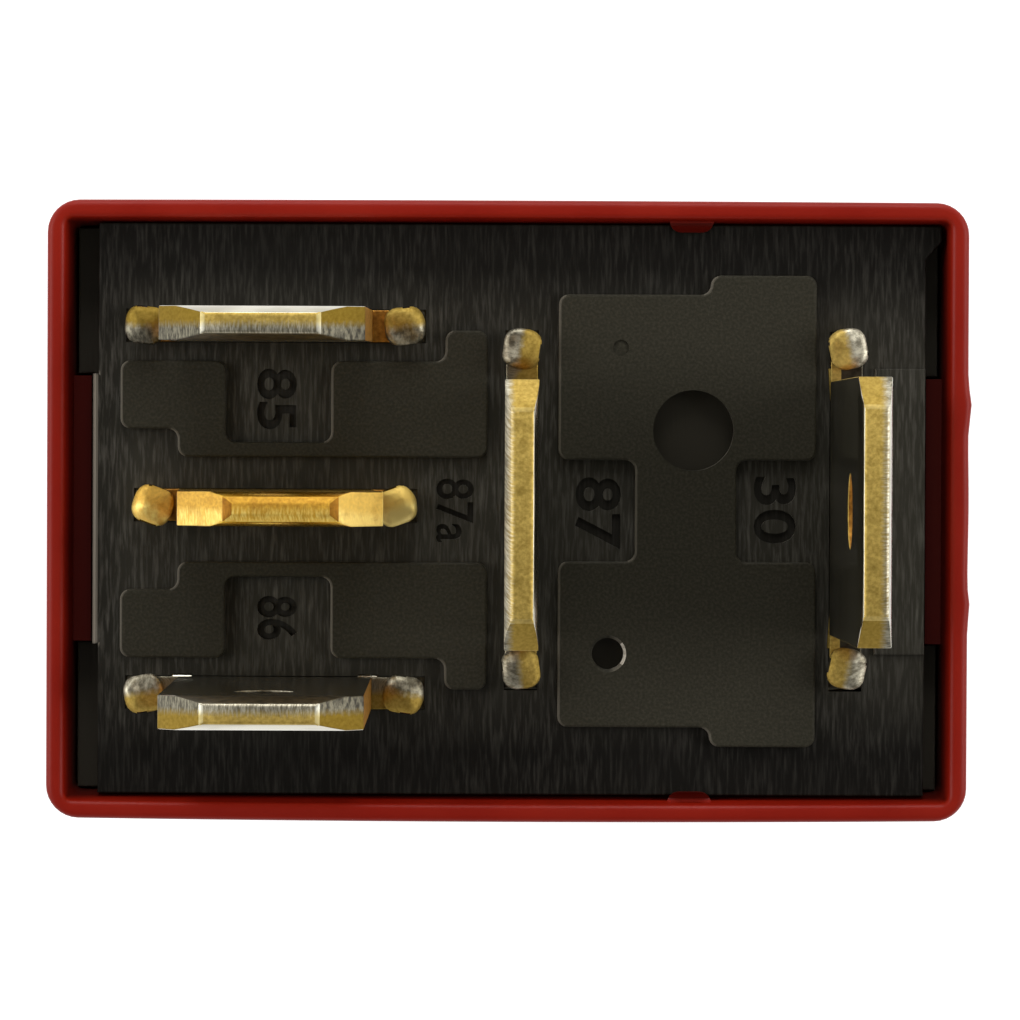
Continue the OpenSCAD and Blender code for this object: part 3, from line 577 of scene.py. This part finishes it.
def coverShell():
    halfL, halfW, top = cover["length"] / 2, cover["width"] / 2, cover["height"]
    wall, corner = cover["wall"], cover["corner"]

    def isInner(vertex):
        return abs(vertex.co.x) < halfL - wall / 2 and abs(vertex.co.y) < halfW - wall / 2

    piece = addBlock("coverShell", (-halfL, -halfW, 0), (halfL, halfW, top))
    editPiece(piece)
    pick(piece, "EDGE", isUpright)
    bpy.ops.mesh.bevel(offset=corner, segments=8, affect="EDGES")
    pick(piece, "FACE", lambda f: f.normal.z > 0.9)
    bpy.ops.mesh.inset(thickness=wall)
    bpy.ops.mesh.extrude_region_move(TRANSFORM_OT_translate={"value": (0, 0, cover["endWall"] - top)})
    sliceAlong("Z", [top - cover["lipDeep"]])
    pick(piece, "VERT", lambda v: abs(v.co.z - top) < touch and isInner(v))
    bpy.ops.transform.resize(
        value=(1 + cover["lip"] / (halfL - wall), 1 + cover["lip"] / (halfW - wall), 1), center_override=(0, 0, top)
    )
    # the walls lean out towards the rim
    for level in (0, cover["endWall"]):
        pick(piece, "VERT", lambda v: abs(v.co.z - level) < touch)
        bpy.ops.transform.resize(
            value=(1 - cover["draft"] / halfL, 1 - cover["draft"] / halfW, 1), center_override=(0, 0, 0)
        )
    for width, segments, isMeant in (
        (cover["endRound"], 5, lambda e: isLevel(e, 0)),
        (cover["rimIn"], 4, lambda e: isLevel(e, top) and all(isInner(v) for v in e.verts)),
        (cover["rimOut"], 4, lambda e: isLevel(e, top) and isRimOutline(e)),
    ):
        pick(piece, "EDGE", isMeant)
        bpy.ops.mesh.bevel(offset=width, segments=segments, affect="EDGES")
    sliceAlong("X", [i * cover["stepX"] for i in range(-12, 13)])
    sliceAlong("Y", [i * cover["stepY"] for i in range(-17, 18)])
    sliceAlong("Z", cover["levels"])
    bpy.ops.object.mode_set(mode="OBJECT")
    for vertex in piece.data.vertices:
        x, y, z = vertex.co
        if abs(y) > halfW - 0.85 * corner:
            rise = max(0, (z - cover["bowFrom"]) / (top - cover["bowFrom"])) ** 2
            middle = max(0, 1 - (x / halfL) ** 2)
            vertex.co.y += math.copysign(cover["bow"] * rise * middle * (cover["bowBack"] if y > 0 else 1), y)
        if x > halfL - 0.35:
            rise = max(0, (z - cover["gateFrom"]) / (top - cover["gateFrom"]))
            vertex.co.x += rise * sum(
                out * math.exp(-(((y - place) / reach) ** 2)) for place, out, reach in cover["gates"]
            )
    # snap nubs over the deck
    for side, out in cover["nubOut"].items():
        wallY = side * (halfW - wall)
        near, far = sorted((wallY + side * cover["nubIn"], wallY - side * out))
        x, half = cover["nubX"], cover["nubLong"] / 2
        nub = addBlock("nub", (x - half, near, cover["nubLow"]), (x + half, far, cover["nubTop"]))
        editPiece(nub)
        pick(nub, "EDGE", lambda e: all(side * v.co.y < side * wallY for v in e.verts))
        bpy.ops.mesh.bevel(offset=cover["nubRound"], segments=6, affect="EDGES")
        bpy.ops.object.mode_set(mode="OBJECT")
        combine(piece, nub, "UNION")
    # pads on the short walls, which fill the gaps beside the base
    half, low, high = cover["padHalf"], cover["padLow"], cover["padTop"]
    for x0, x1 in cover["pads"]:
        combine(piece, addBlock("pad", (x0, -half, low), (x1, half, high)), "UNION")
    # ribs in the corners, which the base stands on
    half, low, high = cover["ribHalf"], cover["ribLow"], cover["ribTop"]
    for sx in (-1, 1):
        for sy in (-1, 1):
            x, y = sx * (halfL - wall - cover["ribIn"]), sy * (halfW - wall - cover["ribIn"])
            combine(piece, addBlock("rib", (x - half, y - half, low), (x + half, y + half, high)), "UNION")
    setMaterials(piece, redNylon)
    finishPiece(piece, "relay")
    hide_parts("cover")


coverShell()
print("cover made")


# Base
base = {
    "under": 22.0, "deck": 24.9, "ledge": 23.4, "ledgeEdge": 0.05,
    "halfL": 10.75, "halfW": 7.0, "left": -10.15, "tab": -10.3, "right": 10.35, "notch": 3.35,
    "slant": (0.4, 0.45, 0.75),         # along X and Y, for the corner that reaches the wall, and its length
    "land": 0.3, "landCorner": 0.25, "landEdge": 0.06, "deckEdge": 0.045, "tabEdge": 0.14,
    "sunk": 0.3,                        # what is set on the deck starts this far below its face
    "flange": {1: 0.09, -1: 0.06}, "flangeLow": 24.73,      # the deck's upper edge reaches further at the long sides
    "plateau": (9.1, 10.35, 3.55, 0.12), "plateauEdge": 0.04,
    # round marks: place and radius
    "recess": (4.6, 2.0, 1.0), "pit": (2.5, -3.54, 0.39), "gate": (2.8, 4.04, 0.2),
    "markDepth": 0.2, "gateDepth": 0.05, "pitEdge": 0.07,
    "slots": [(7.985, 8.815, -4.465, 4.465), (-0.065, 0.765, -4.465, 4.465), (-9.265, -2.235, -0.315, 0.515),
              (-9.465, -2.035, 4.135, 4.965), (-9.465, -2.035, -4.965, -4.135)],
    "through": (21, 26),                # cutters reach from below to above
    "guide": {"x": (1.0, 6.0), "y": 5.59, "half": 0.35, "z": (20.8, 22.3)},     # ribs beside the yoke's foot
    "stripRoom": [(-11.5, -3.54, 21), (0.79, -0.86, 23.24)],        # for the strip of terminal 87, below the deck
    "sideLand": [(-9.59, 3.68), (-6.98, 3.68), (-6.98, 1.67), (-4.37, 1.67), (-4.37, 3.68), (-1.55, 3.68),
                 (-1.55, 4.45), (-0.5, 4.45), (-0.5, 1.3), (-8.17, 1.3), (-8.17, 1.99), (-9.59, 1.99)],
    "middleLand": [(1.26, 5.36), (5.02, 5.36), (5.02, 5.84), (7.64, 5.84), (7.64, 1.26), (5.67, 1.26),
                   (5.67, -1.26), (7.64, -1.26), (7.64, -5.84), (5.02, -5.84), (5.02, -5.36), (1.26, -5.36),
                   (1.26, -1.26), (3.16, -1.26), (3.16, 1.26), (1.26, 1.26)],
    # sunk numbers: text, the ends of the glyphs' height along X and of the line along Y, and how bold they are
    "numbers": [
        ("85", -6.22, -5.23, 3.49, 1.98, 0.03), ("86", -6.2, -5.2, -2.15, -3.24, 0.03),
        ("87", 1.68, 2.82, 0.83, -0.96, 0.03), ("30", 6.11, 7.16, 0.86, -0.8, 0.03),
        ("87a", -1.77, -0.83, 0.78, -0.8, 0.015),
    ],
    "numberSize": 1.4, "numberRaise": 0.15, "numberDepth": 0.085,
}


def addNumber(text, x0, x1, y0, y1, bold):
    deselectAll()
    bpy.ops.object.text_add()
    number = bpy.context.active_object
    number.data.body = text
    number.data.size = base["numberSize"]
    number.data.offset = bold
    number.data.extrude = base["numberRaise"]
    number.data.resolution_u = 4
    bpy.ops.object.convert(target="MESH")
    number = bpy.context.active_object
    editPiece(number)
    bpy.ops.mesh.remove_doubles(threshold=0.0005)
    bpy.ops.mesh.normals_make_consistent(inside=False)
    bpy.ops.object.mode_set(mode="OBJECT")
    xs = [v.co.x for v in number.data.vertices]
    ys = [v.co.y for v in number.data.vertices]
    # glyph tops face +X, and the line runs from +Y to -Y
    run, rise = (y0 - y1) / (max(xs) - min(xs)), (x1 - x0) / (max(ys) - min(ys))
    floor = base["deck"] - base["numberDepth"]
    for vertex in number.data.vertices:
        x, y, z = vertex.co
        vertex.co = (x0 + (y - min(ys)) * rise, y0 - (x - min(xs)) * run, floor + base["numberRaise"] + z)
    return number


def baseMoulding():
    halfL, halfW, left, right, tab, notch = [
        base[name] for name in ("halfL", "halfW", "left", "right", "tab", "notch")
    ]
    deck, under, sunk, landTop = base["deck"], base["under"], base["deck"] - base["sunk"], base["deck"] + base["land"]
    low, high = base["through"]
    slantX, slantY, slantLong = base["slant"]
    piece = addSlab("baseMoulding", [
        (left, -halfW), (right, -halfW), (right, halfW - slantLong), (halfL, halfW - slantLong), (halfL, halfW),
        (left, halfW), (left, notch), (tab, notch), (tab, -notch), (left, -notch),
    ], under, deck)
    wedge = addBlock("wedge", (0, -0.5, low), (0.9, 0, high))
    wedge.rotation_euler = (0, 0, math.atan2(slantY, slantX))
    wedge.location = (right, halfW - slantLong, 0)
    bpy.ops.object.transform_apply(location=True, rotation=True, scale=True)
    combine(piece, wedge, "DIFFERENCE")
    editPiece(piece)
    bpy.ops.mesh.remove_doubles(threshold=touch)
    bpy.ops.mesh.dissolve_limited(angle_limit=0.01)
    sliceAlong("Z", [base["flangeLow"]])
    for side, reach in base["flange"].items():
        pick(piece, "FACE", lambda f: side * f.normal.y > 0.99 and f.calc_center_median().z > base["flangeLow"]
             and side * f.calc_center_median().y > halfW - 0.01)
        bpy.ops.mesh.extrude_region_move(TRANSFORM_OT_translate={"value": (0, side * reach, 0)})
    bpy.ops.mesh.select_all(action="SELECT")
    bpy.ops.mesh.dissolve_limited(angle_limit=0.01)
    pick(piece, "EDGE", lambda e: isLevel(e, deck) and all(abs(v.co.x - tab) < touch for v in e.verts))
    bpy.ops.mesh.bevel(offset=base["tabEdge"], segments=4, affect="EDGES")
    pick(piece, "EDGE", lambda e: isLevel(e, deck) and e.calc_face_angle(0) > 0.5)
    bpy.ops.mesh.bevel(offset=base["deckEdge"], segments=3, affect="EDGES")
    bpy.ops.object.mode_set(mode="OBJECT")
    ledge = addSlab("ledge", [
        (-halfL, -halfW), (halfL, -halfW), (halfL, -notch), (right, -notch), (right, notch), (halfL, notch),
        (halfL, halfW), (-halfL, halfW), (-halfL, notch), (tab, notch), (tab, -notch), (-halfL, -notch),
    ], under, base["ledge"], edge=base["ledgeEdge"])
    combine(piece, ledge, "UNION")
    # the seam where the two meet flush is closed
    editPiece(piece)
    bpy.ops.mesh.remove_doubles(threshold=touch)
    bpy.ops.mesh.dissolve_degenerate(threshold=touch)
    bpy.ops.object.mode_set(mode="OBJECT")
    mirrored = [(x, -y) for x, y in base["sideLand"]]
    for outline in (base["sideLand"], mirrored, base["middleLand"]):
        land = addSlab("land", outline, sunk, landTop, base["landCorner"], base["landEdge"])
        combine(piece, land, "UNION")
    x0, x1, half, rise = base["plateau"]
    x1 += touch
    plateau = addSlab(
        "plateau", [(x0, -half), (x1, -half), (x1, half), (x0, half)], sunk, deck + rise, edge=base["plateauEdge"]
    )
    combine(piece, plateau, "UNION")
    guide = base["guide"]
    for side in (-1, 1):
        y, (x0, x1), (z0, z1) = side * guide["y"], guide["x"], guide["z"]
        combine(piece, addBlock("guide", (x0, y - guide["half"], z0), (x1, y + guide["half"], z1)), "UNION")
    for x0, x1, y0, y1 in base["slots"]:
        combine(piece, addBlock("slotCutter", (x0, y0, low), (x1, y1, high)), "DIFFERENCE")
    combine(piece, addBlock("stripRoom", *base["stripRoom"]), "DIFFERENCE")
    for mark, floor in (
        ("recess", deck - base["markDepth"]), ("pit", deck - base["markDepth"]), ("gate", landTop - base["gateDepth"]),
    ):
        x, y, radius = base[mark]
        combine(piece, addRod("markCutter", (x, y, floor + 1), radius, 2), "DIFFERENCE")
        if mark == "pit":
            editPiece(piece)
            pick(piece, "EDGE", lambda e: isLevel(e, landTop) and all(
                abs(math.hypot(v.co.x - x, v.co.y - y) - radius) < 0.01 for v in e.verts
            ))
            bpy.ops.mesh.bevel(offset=base["pitEdge"], segments=1, affect="EDGES")
            bpy.ops.object.mode_set(mode="OBJECT")
    for number in base["numbers"]:
        combine(piece, addNumber(*number), "DIFFERENCE")
    setMaterials(piece, blackNylon, pitRimHighlight)
    pitX, pitY, radius = base["pit"]
    # painted highlight: the pit rim's faces turned to the left take the pale second material
    for face in piece.data.polygons:
        x, y, z = face.center
        onRim = abs(math.hypot(x - pitX, y - pitY) - radius) < 0.08 and z > deck + 0.1
        facesLeft = 0.4 < face.normal.z < 0.9 and face.normal.x < -0.58
        face.material_index = 1 if onRim and facesLeft else 0
    finishPiece(piece, "relay", 10)
    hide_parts("base")


baseMoulding()
print("base made")


# Blades
strip = {
    "thick": 0.8, "height": 11.3, "deck": 24.9, "below": 0.5, "rootTop": -0.05, "joint": 0.4,
    "neck": 0.3, "neckRise": 0.12, "soft": 0.03,
    "earRise": 1.0, "earWide": 1.0, "earRound": 0.32, "earTop": 0.2,
    "earSteps": {"X": (-0.25, 0, 0.25), "Y": (-0.15, 0, 0.15), "Z": (0.05, 0.2, 0.35, 0.5, 0.65)},
    "earGrown": 0.2, "earDent": 0.045,
    "hornIn": 0.06, "hornLow": -0.03, "hornTop": 0.4, "hornEdge": 0.02,
}
finishOrder = ("plate", "sheared", "tarnishedAndShaded", "oxidisedAndShaded")

# burnished is the side, along the blade's own Y, that the die has smoothed; share moves the border of its two halves;
# lead is, for the -Y and the +Y face, how deep and how far in the tip's two slopes go;
# edge is the width of the cuts' inner edges; neck is the finish between blade and ear, over neckStrip of it sheared;
# the tones of the two corner cuts, of their inner edges and of the two ears are painted: 1 is painted shade, -1 is
# painted light;
# horns are the small corners pushed up beside the foot, from inner to end along it, with a painted tone;
# leadFinish is another finish for the lead-in of the burnished side
narrow = {"width": 4.8, "cut": (1.05, 1.1), "hole": (0.7, 3.0), "ear": 1.0, "edge": 0.06, "share": 0}
wide = {"width": 6.3, "cut": (0.7, 0.7), "hole": (0.9, 3.5), "ear": 1.0, "edge": 0.06}
blades = {
    "blade30": {
        **wide, "node": "terminal_30", "at": (8.4, 0.08), "turn": 90, "burnished": -1, "share": 0.4,
        "twist": 12, "lean": (0.09, -0.145), "lead": [(0.7, 0.05, 0.3, 0.1), (0.7, 0.05, 0.3, 0.1)],
        "neck": "oxidisedAndShaded", "neckStrip": 0.26, "paintedLightAndShade": (0.9, 0.5, -0.3, 0, -0.1),
        "horns": {"inner": -0.5, "end": 0.32, "out": 0.06, "tone": 0},
    },
    "blade87": {
        **wide, "node": "terminal_87", "at": (0.35, 0.05), "turn": 90, "burnished": 1, "share": 0.55,
        "twist": -8, "lean": (0.02, 0), "lead": [(0.6, 0.05, 0.28, 0.12), (0.5, 0.05, 0.26, 0.16)],
        "neck": "sheared", "paintedLightAndShade": (0.8, 0.3, -0.3, 0.1, 0.5), "leadFinish": "sheared",
    },
    "blade87a": {
        **narrow, "node": "terminal_87a", "at": (-5.75, 0.1), "turn": 0, "burnished": -1,
        "twist": 20, "lean": (0.53, 0.09), "lead": [(0.42, 0.06, 0.2, 0.15)] * 2,
        "ear": 0.8, "cut": (1.15, 1.0), "edge": 0.12, "neck": "tarnishedAndShaded", "paintedLightAndShade": (-0.15, -0.5, 1, -0.3, -1),
        "bare": True,
    },
    "blade85": {
        **narrow, "node": "terminal_85", "at": (-5.75, 4.55), "turn": 0, "burnished": -1,
        "twist": 7, "lean": (0.05, -0.06), "lead": [(0.65, 0.07, 0.32, 0.15)] * 2,
        "neck": "tarnishedAndShaded", "paintedLightAndShade": (1, 1, -1, 0.8, 0.4), "leadFinish": "oxidisedAndShaded",
    },
    "blade86": {
        **narrow, "node": "terminal_86", "at": (-5.75, -4.55), "turn": 0, "burnished": 1,
        "twist": -10, "lean": (0.05, 0.0), "lead": [(0.65, 0.07, 0.32, 0.15)] * 2,
        "neck": "sheared", "paintedLightAndShade": (0.9, 1, -1, 0.2, 0.5), "leadFinish": "oxidisedAndShaded",
        "horns": {"inner": -0.35, "end": 0.15, "out": 0.07, "tone": -1},
    },
}


def smoothStep(x):
    x = min(1, max(0, x))
    return x * x * (3 - 2 * x)


def earTwist(blade, side, z):
    return side * math.radians(blade["twist"]) * smoothStep((z - 0.1) / (0.6 * strip["earRise"]))


def earCentre(blade, side):
    return side * (blade["width"] / 2 + strip["neck"] + blade["ear"] - strip["earWide"] / 2)


def addEar(blade, side):
    # a stub of the strip, raised, its edges rounded, its upper part turned and spread by the staking tool
    half, thick, rise = strip["earWide"] / 2, strip["thick"] / 2, strip["earRise"]
    ear = addBlock("ear", (-half, -thick, -strip["below"]), (half, thick, rise))
    editPiece(ear)
    pick(ear, "EDGE", isUpright)
    bpy.ops.mesh.bevel(offset=strip["earRound"], segments=6, affect="EDGES")
    pick(ear, "EDGE", lambda e: isLevel(e, rise))
    bpy.ops.mesh.bevel(offset=strip["earTop"], segments=5, affect="EDGES")
    pick(ear, "FACE", lambda f: f.normal.z > 0.99)
    bpy.ops.mesh.inset(thickness=0.1)
    bpy.ops.transform.translate(value=(0, 0, 0.03))
    for axis, places in strip["earSteps"].items():
        sliceAlong(axis, places)
    bpy.ops.object.mode_set(mode="OBJECT")
    for vertex in ear.data.vertices:
        x, y, z = vertex.co
        y *= 1 + strip["earGrown"] * smoothStep(z / rise)
        wave = 1 + math.sin(6 * x + 4 * y + 2 * side + blade["twist"])
        angle = earTwist(blade, side, z)
        vertex.co = (
            earCentre(blade, side) + x * math.cos(angle) - y * math.sin(angle),
            x * math.sin(angle) + y * math.cos(angle),
            z - strip["earDent"] * wave * smoothStep((z - 0.6) / 0.4),
        )
    return ear


def addHorn(blade, side):
    horns, width, thick = blade["horns"], blade["width"] / 2, strip["thick"] / 2
    inner, end = side * (width + horns["inner"]), side * (width + horns["end"])
    outer = thick + horns["out"]
    horn = addBlock(
        "horn", (min(inner, end), thick - strip["hornIn"], strip["hornLow"]), (max(inner, end), outer, strip["hornTop"])
    )
    editPiece(horn)
    cutAway((0, outer, 0.01), (0, 0.5, 0.866))
    if "neckStrip" in blade:
        # tapering away from the ear
        cutAway((inner, thick, 0), (-side * horns["out"], horns["end"] - horns["inner"], 0))
    bpy.ops.object.mode_set(mode="OBJECT")
    roundEdges(horn, strip["hornEdge"])
    return horn


def shapeBlade(name, blade):
    w, t, h, below = blade["width"] / 2, strip["thick"] / 2, strip["height"], strip["below"]
    piece = addBlock(name, (-w, -t, -below), (w, t, h))
    editPiece(piece)
    across, down = blade["cut"]
    for side, (startDeep, startOff, endDeep, endOff) in zip((-1, 1), blade["lead"]):
        # a corner cut of the tip, then the coined lead-in in two slopes
        cutAway((side * (w - across), 0, h), (side * down, 0, across))
        for far, near, low, high in (
            (t, t - startOff, h - startDeep, h - endDeep), (t - startOff, t - endOff, h - endDeep, h),
        ):
            cutAway((0, side * far, low), (0, side * (high - low), far - near))
    # the cuts' inner edges are rubbed flat
    pick(piece, "EDGE", lambda e: isLevel(e, h) and all(abs(abs(v.co.x) - w + across) < touch for v in e.verts))
    bpy.ops.mesh.bevel(offset=blade["edge"], segments=1, affect="EDGES")
    bpy.ops.object.mode_set(mode="OBJECT")
    radius, drop = blade["hole"]
    combine(piece, addRod("holeCutter", (0, 0, h - drop), radius, 2, (math.pi / 2, 0, 0)), "DIFFERENCE")
    roundEdges(piece, strip["soft"])
    editPiece(piece)
    sliceAlong("Z", (0, 2, 4, 6, 8))
    bpy.ops.object.mode_set(mode="OBJECT")
    leanX, leanY = blade["lean"]
    for vertex in piece.data.vertices:
        up = max(0, vertex.co.z) / h
        vertex.co.x += leanX * up
        vertex.co.y += leanY * up
    span = abs(earCentre(blade, 1))
    foot = addBlock("foot", (-span, -t, -below), (span, t, strip["neckRise"]))
    if "neckStrip" in blade:
        editPiece(foot)
        sliceAlong("Y", [t - blade["neckStrip"]])
        bpy.ops.object.mode_set(mode="OBJECT")
    roundEdges(foot, strip["soft"])
    combine(piece, foot, "UNION")
    # the root fills the slot's corners under the rounded ears
    outer = span + strip["earWide"] / 2
    combine(piece, addBlock("root", (-outer, -t, -below), (outer, t, strip["rootTop"])), "UNION")
    for side in (-1, 1):
        combine(piece, addEar(blade, side), "UNION")
        if "horns" in blade:
            combine(piece, addHorn(blade, side), "UNION")
    return piece


def markSides(piece, blade):
    # across: from the torn side, -1, to the burnished one, +1; along: a length for the die's drag lines;
    # tone: painted shade of a face above 0, painted light below 0
    half, thick, height = blade["width"] / 2, strip["thick"] / 2, strip["height"]
    reach = half + strip["neck"] / 2        # beyond it and over the deck are the ears
    across, along, paintedLightAndShade = [], [], []
    for vertex in piece.data.vertices:
        x, y, z = vertex.co
        if abs(x) > reach and z > 0:
            side = 1 if x > 0 else -1
            angle = earTwist(blade, side, z)
            y = -(x - earCentre(blade, side)) * math.sin(angle) + y * math.cos(angle)
            share = 0
        else:
            y -= blade["lean"][1] * max(0, z) / height
            share = blade["share"]
        across.append(blade["burnished"] * y / thick - share)
        along.append((x + 0.37 * z) * (0.3 if abs(x) > reach else 1))
    cutLow, cutHigh, cutEdge, earLow, earHigh = blade["paintedLightAndShade"]
    holeRadius, holeDrop = blade["hole"]
    leadFinish = blade.get("leadFinish")
    for face in piece.data.polygons:
        x, y, z = face.center
        normal = face.normal.copy()
        onEar = abs(x) > reach and z > 0
        if onEar:
            normal.rotate(Matrix.Rotation(-earTwist(blade, 1 if x > 0 else -1, z), 3, "Z"))
        onHorn = "horns" in blade and not onEar and y > thick + 0.005 and z < 0.3
        isEnd = abs(normal.x) > 0.9
        atTip = z > height - 1.3
        # each rule overrides the ones before
        finish = "plate" if abs(normal.y) > (0.85 if onEar else 0.7) else "sheared"
        if half + 0.02 < abs(x) < half + strip["neck"] + 0.1 and -0.05 < z < 0.45:
            onStrip = "neckStrip" in blade and y > thick - blade["neckStrip"]
            finish = "sheared" if onStrip else blade["neck"]
        if onHorn:
            finish = "sheared" if "neckStrip" in blade else "plate"
        if leadFinish and blade["burnished"] * normal.y > 0.7 and normal.z > 0.1 and z > height - 0.7:
            finish = leadFinish
        # painted shade: the wall of the hole takes a darker finish
        if abs(normal.y) < 0.3 and abs(math.hypot(x, z - height + holeDrop) - holeRadius) < 0.12:
            finish = "oxidisedAndShaded" if leadFinish == "oxidisedAndShaded" else "tarnishedAndShaded"
        if -0.1 < z < 0 and normal.z > 0.9:
            finish = "oxidisedAndShaded"
        # painted reflection and shade: the blade's ends below the tip take the darker tarnished finish, standing in for
        # the deck and ears they mirror
        if isEnd and not onEar and abs(x) > half - 0.2 and z < height - 1.2:
            finish = "tarnishedAndShaded"
        face.material_index = finishOrder.index(finish)
        # painted light and shade: a tone above 0 is painted shade, below 0 painted light; the ends near the tip get
        # painted shade
        if onEar:
            tone = earHigh if x > 0 else earLow
        elif onHorn:
            tone = blade["horns"]["tone"]
        elif isEnd:
            tone = 0.95
        elif abs(normal.x) > 0.55 and atTip:
            tone = cutHigh if x > 0 else cutLow
        else:
            tone = cutEdge if abs(normal.x) > 0.2 and atTip else 0
        paintedLightAndShade.append(tone)
    for stored, domain, values in (("across", "POINT", across), ("along", "POINT", along), ("tone", "FACE", paintedLightAndShade)):
        piece.data.attributes.new(stored, "FLOAT", domain).data.foreach_set("value", values)


def placeBlade(name):
    blade = blades[name]
    bare = "bare" in blade
    finishes = (*((brassPlate, shearedBare) if bare else (tinPlate, shearedTinned)), tarnishedAndShadedBrass, oxidisedAndShadedTin)
    piece = shapeBlade(name, blade)
    setMaterials(piece, *finishes)
    markSides(piece, blade)
    makeActive(piece)
    piece.rotation_euler = (0, 0, math.radians(blade["turn"]))
    piece.location = (*blade["at"], strip["deck"])
    bpy.ops.object.transform_apply(location=True, rotation=True, scale=True)
    # the rest of the terminal, below the deck, as the CAD has it
    lower = copyNode(blade["node"], name + "Lower")
    editPiece(lower)
    cutAway((0, 0, strip["deck"] - strip["joint"]), (0, 0, 1))
    bpy.ops.object.mode_set(mode="OBJECT")
    setMaterials(lower, *finishes)
    combine(piece, lower, "UNION")
    finishPiece(piece, "relay", 20)
    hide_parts(blade["node"])


for name in blades:
    placeBlade(name)
print("blades made")


def springLeaf():
    piece = copyNode("contact_spring", "springLeaf")
    setMaterials(piece, springCopper)
    bringToMetres(piece, 30)
    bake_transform(piece)
    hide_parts("contact_spring")


springLeaf()

# Parts kept from the CAD, and what lies under the new pieces
keptFinish = {
    "yoke": zincIron, "core": polishedIron, "armature": zincIron, "bobbin": naturalNylon, "winding": enamelledCopper,
    "coil_pin_85": tinnedWire, "coil_pin_86": tinnedWire, "terminal_rivets": turnedBrass,
    "armature_rivets": turnedBrass, "spring_rivets": turnedBrass, "fixed_contact_87": silverAlloy,
    "fixed_contact_87a": silverAlloy, "moving_contact": silverAlloy,
    "cover": redNylon, "base": blackNylon, "contact_spring": springCopper,
    "terminal_30": tinPlate, "terminal_87": tinPlate, "terminal_85": tinPlate, "terminal_86": tinPlate,
    "terminal_87a": brassPlate,
}
for node, material in keptFinish.items():
    setMaterials(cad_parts[node], material)
print("parts inside finished")


# Floor, world, lamps, camera
studio = {
    "floor": "#f2f2f2", "floorSize": 3, "floorDrop": 0.00002, "floorGlow": 0.8, "floorShadow": (0.5, 0.5, 0.5, 1),
    "lampPower": 0.8, "lampSize": 0.22, "lampTarget": (0, 0, 0.025),
    "ambient": 0.35, "overhead": 0.04,
    "lamps": {"softboxLeft": (-0.34, 0.04, 0.24), "softboxRight": (0.34, 0.04, 0.24), "softboxBack": (0.0, 0.36, 0.22)},
}


def addFloor():
    deselectAll()
    bpy.ops.mesh.primitive_plane_add(size=studio["floorSize"], location=(0, 0, -studio["floorDrop"]))
    floor = bpy.context.active_object
    floor.name = floor.data.name = "studioFloor"
    material, tree, shader = startMaterial(
        "whiteSweep", Base_Color=linear(studio["floor"]), Roughness=0.9, Specular_IOR_Level=0
    )
    path = addNode(tree, "LightPath")
    seen = path["Is Camera Ray"]
    for ray in ("Is Glossy Ray", "Is Transmission Ray"):
        seen = addNode(tree, "Math", {"operation": "MAXIMUM", 0: seen, 1: path[ray]})[0]
    # where it is seen it glows, and what falls on it adds the shadow
    glow = addNode(tree, "Emission", {"Color": (1, 1, 1, 1), "Strength": studio["floorGlow"]})[0]
    shadow = addNode(tree, "BsdfDiffuse", {"Color": studio["floorShadow"]})[0]
    both = addNode(tree, "AddShader", {0: glow, 1: shadow})[0]
    mixed = addNode(tree, "MixShader", {0: seen, 1: shader.outputs[0], 2: both})[0]
    tree.links.new(mixed, tree.nodes["Material Output"].inputs["Surface"])
    setMaterials(floor, material)


def addWorld():
    world = bpy.data.worlds.new("softStudio")
    bpy.context.scene.world = world
    world.use_nodes = True
    tree = world.node_tree
    sky = tree.nodes["Background"]
    path = addNode(tree, "LightPath")
    direction = addNode(tree, "TexCoord")["Generated"]
    height = addNode(tree, "SeparateXYZ", {"Vector": direction})["Z"]
    # white round the horizon, dark overhead
    mirrored = addNode(tree, "MapRange", {
        "From Min": 0.2, "From Max": 0.65, "To Min": 1.0, "To Max": studio["overhead"], "Value": height,
    })[0]
    seen = addNode(tree, "Math", {"operation": "MAXIMUM", 0: path["Is Glossy Ray"], 1: path["Is Transmission Ray"]})[0]
    strength = studio["ambient"]
    for ray, brightness in ((seen, mirrored), (path["Is Camera Ray"], 1.0)):
        strength = addNode(tree, "Mix", {"data_type": "FLOAT", 0: ray, 2: strength, 3: brightness})[0]
    sky.inputs["Color"].default_value = (1, 1, 1, 1)
    tree.links.new(strength, sky.inputs["Strength"])


def addLamps():
    for name, place in studio["lamps"].items():
        deselectAll()
        bpy.ops.object.light_add(type="AREA", location=place)
        lamp = bpy.context.active_object
        lamp.name = name
        lamp.data.shape = "SQUARE"
        lamp.data.size = studio["lampSize"]
        lamp.data.energy = studio["lampPower"]
        lamp.rotation_euler = (Vector(studio["lampTarget"]) - Vector(place)).to_track_quat("-Z", "Y").to_euler()


view = {"focal": 230.5, "from": (0.19, 2.74, 186.9), "at": (0.067, 0.007, 24.9), "roll": 0.25}     # mm and degrees


def addCamera():
    deselectAll()
    bpy.ops.object.camera_add()
    camera = bpy.context.active_object
    camera.name = "topCamera"
    camera.data.lens = view["focal"]
    camera.data.sensor_width = 36
    camera.data.clip_start = 0.01
    place, target = Vector(view["from"]) * mm, Vector(view["at"]) * mm
    back = (place - target).normalized()
    roll = math.radians(view["roll"])
    up = Vector((-math.sin(roll), math.cos(roll), 0))
    right = up.cross(back).normalized()
    up = back.cross(right)
    camera.matrix_world = Matrix.Translation(place) @ Matrix((right, up, back)).transposed().to_4x4()
    bpy.context.scene.camera = camera


addFloor()
addWorld()
addLamps()
addCamera()
bpy.context.scene.view_settings.view_transform = "Standard"
print("stage set")
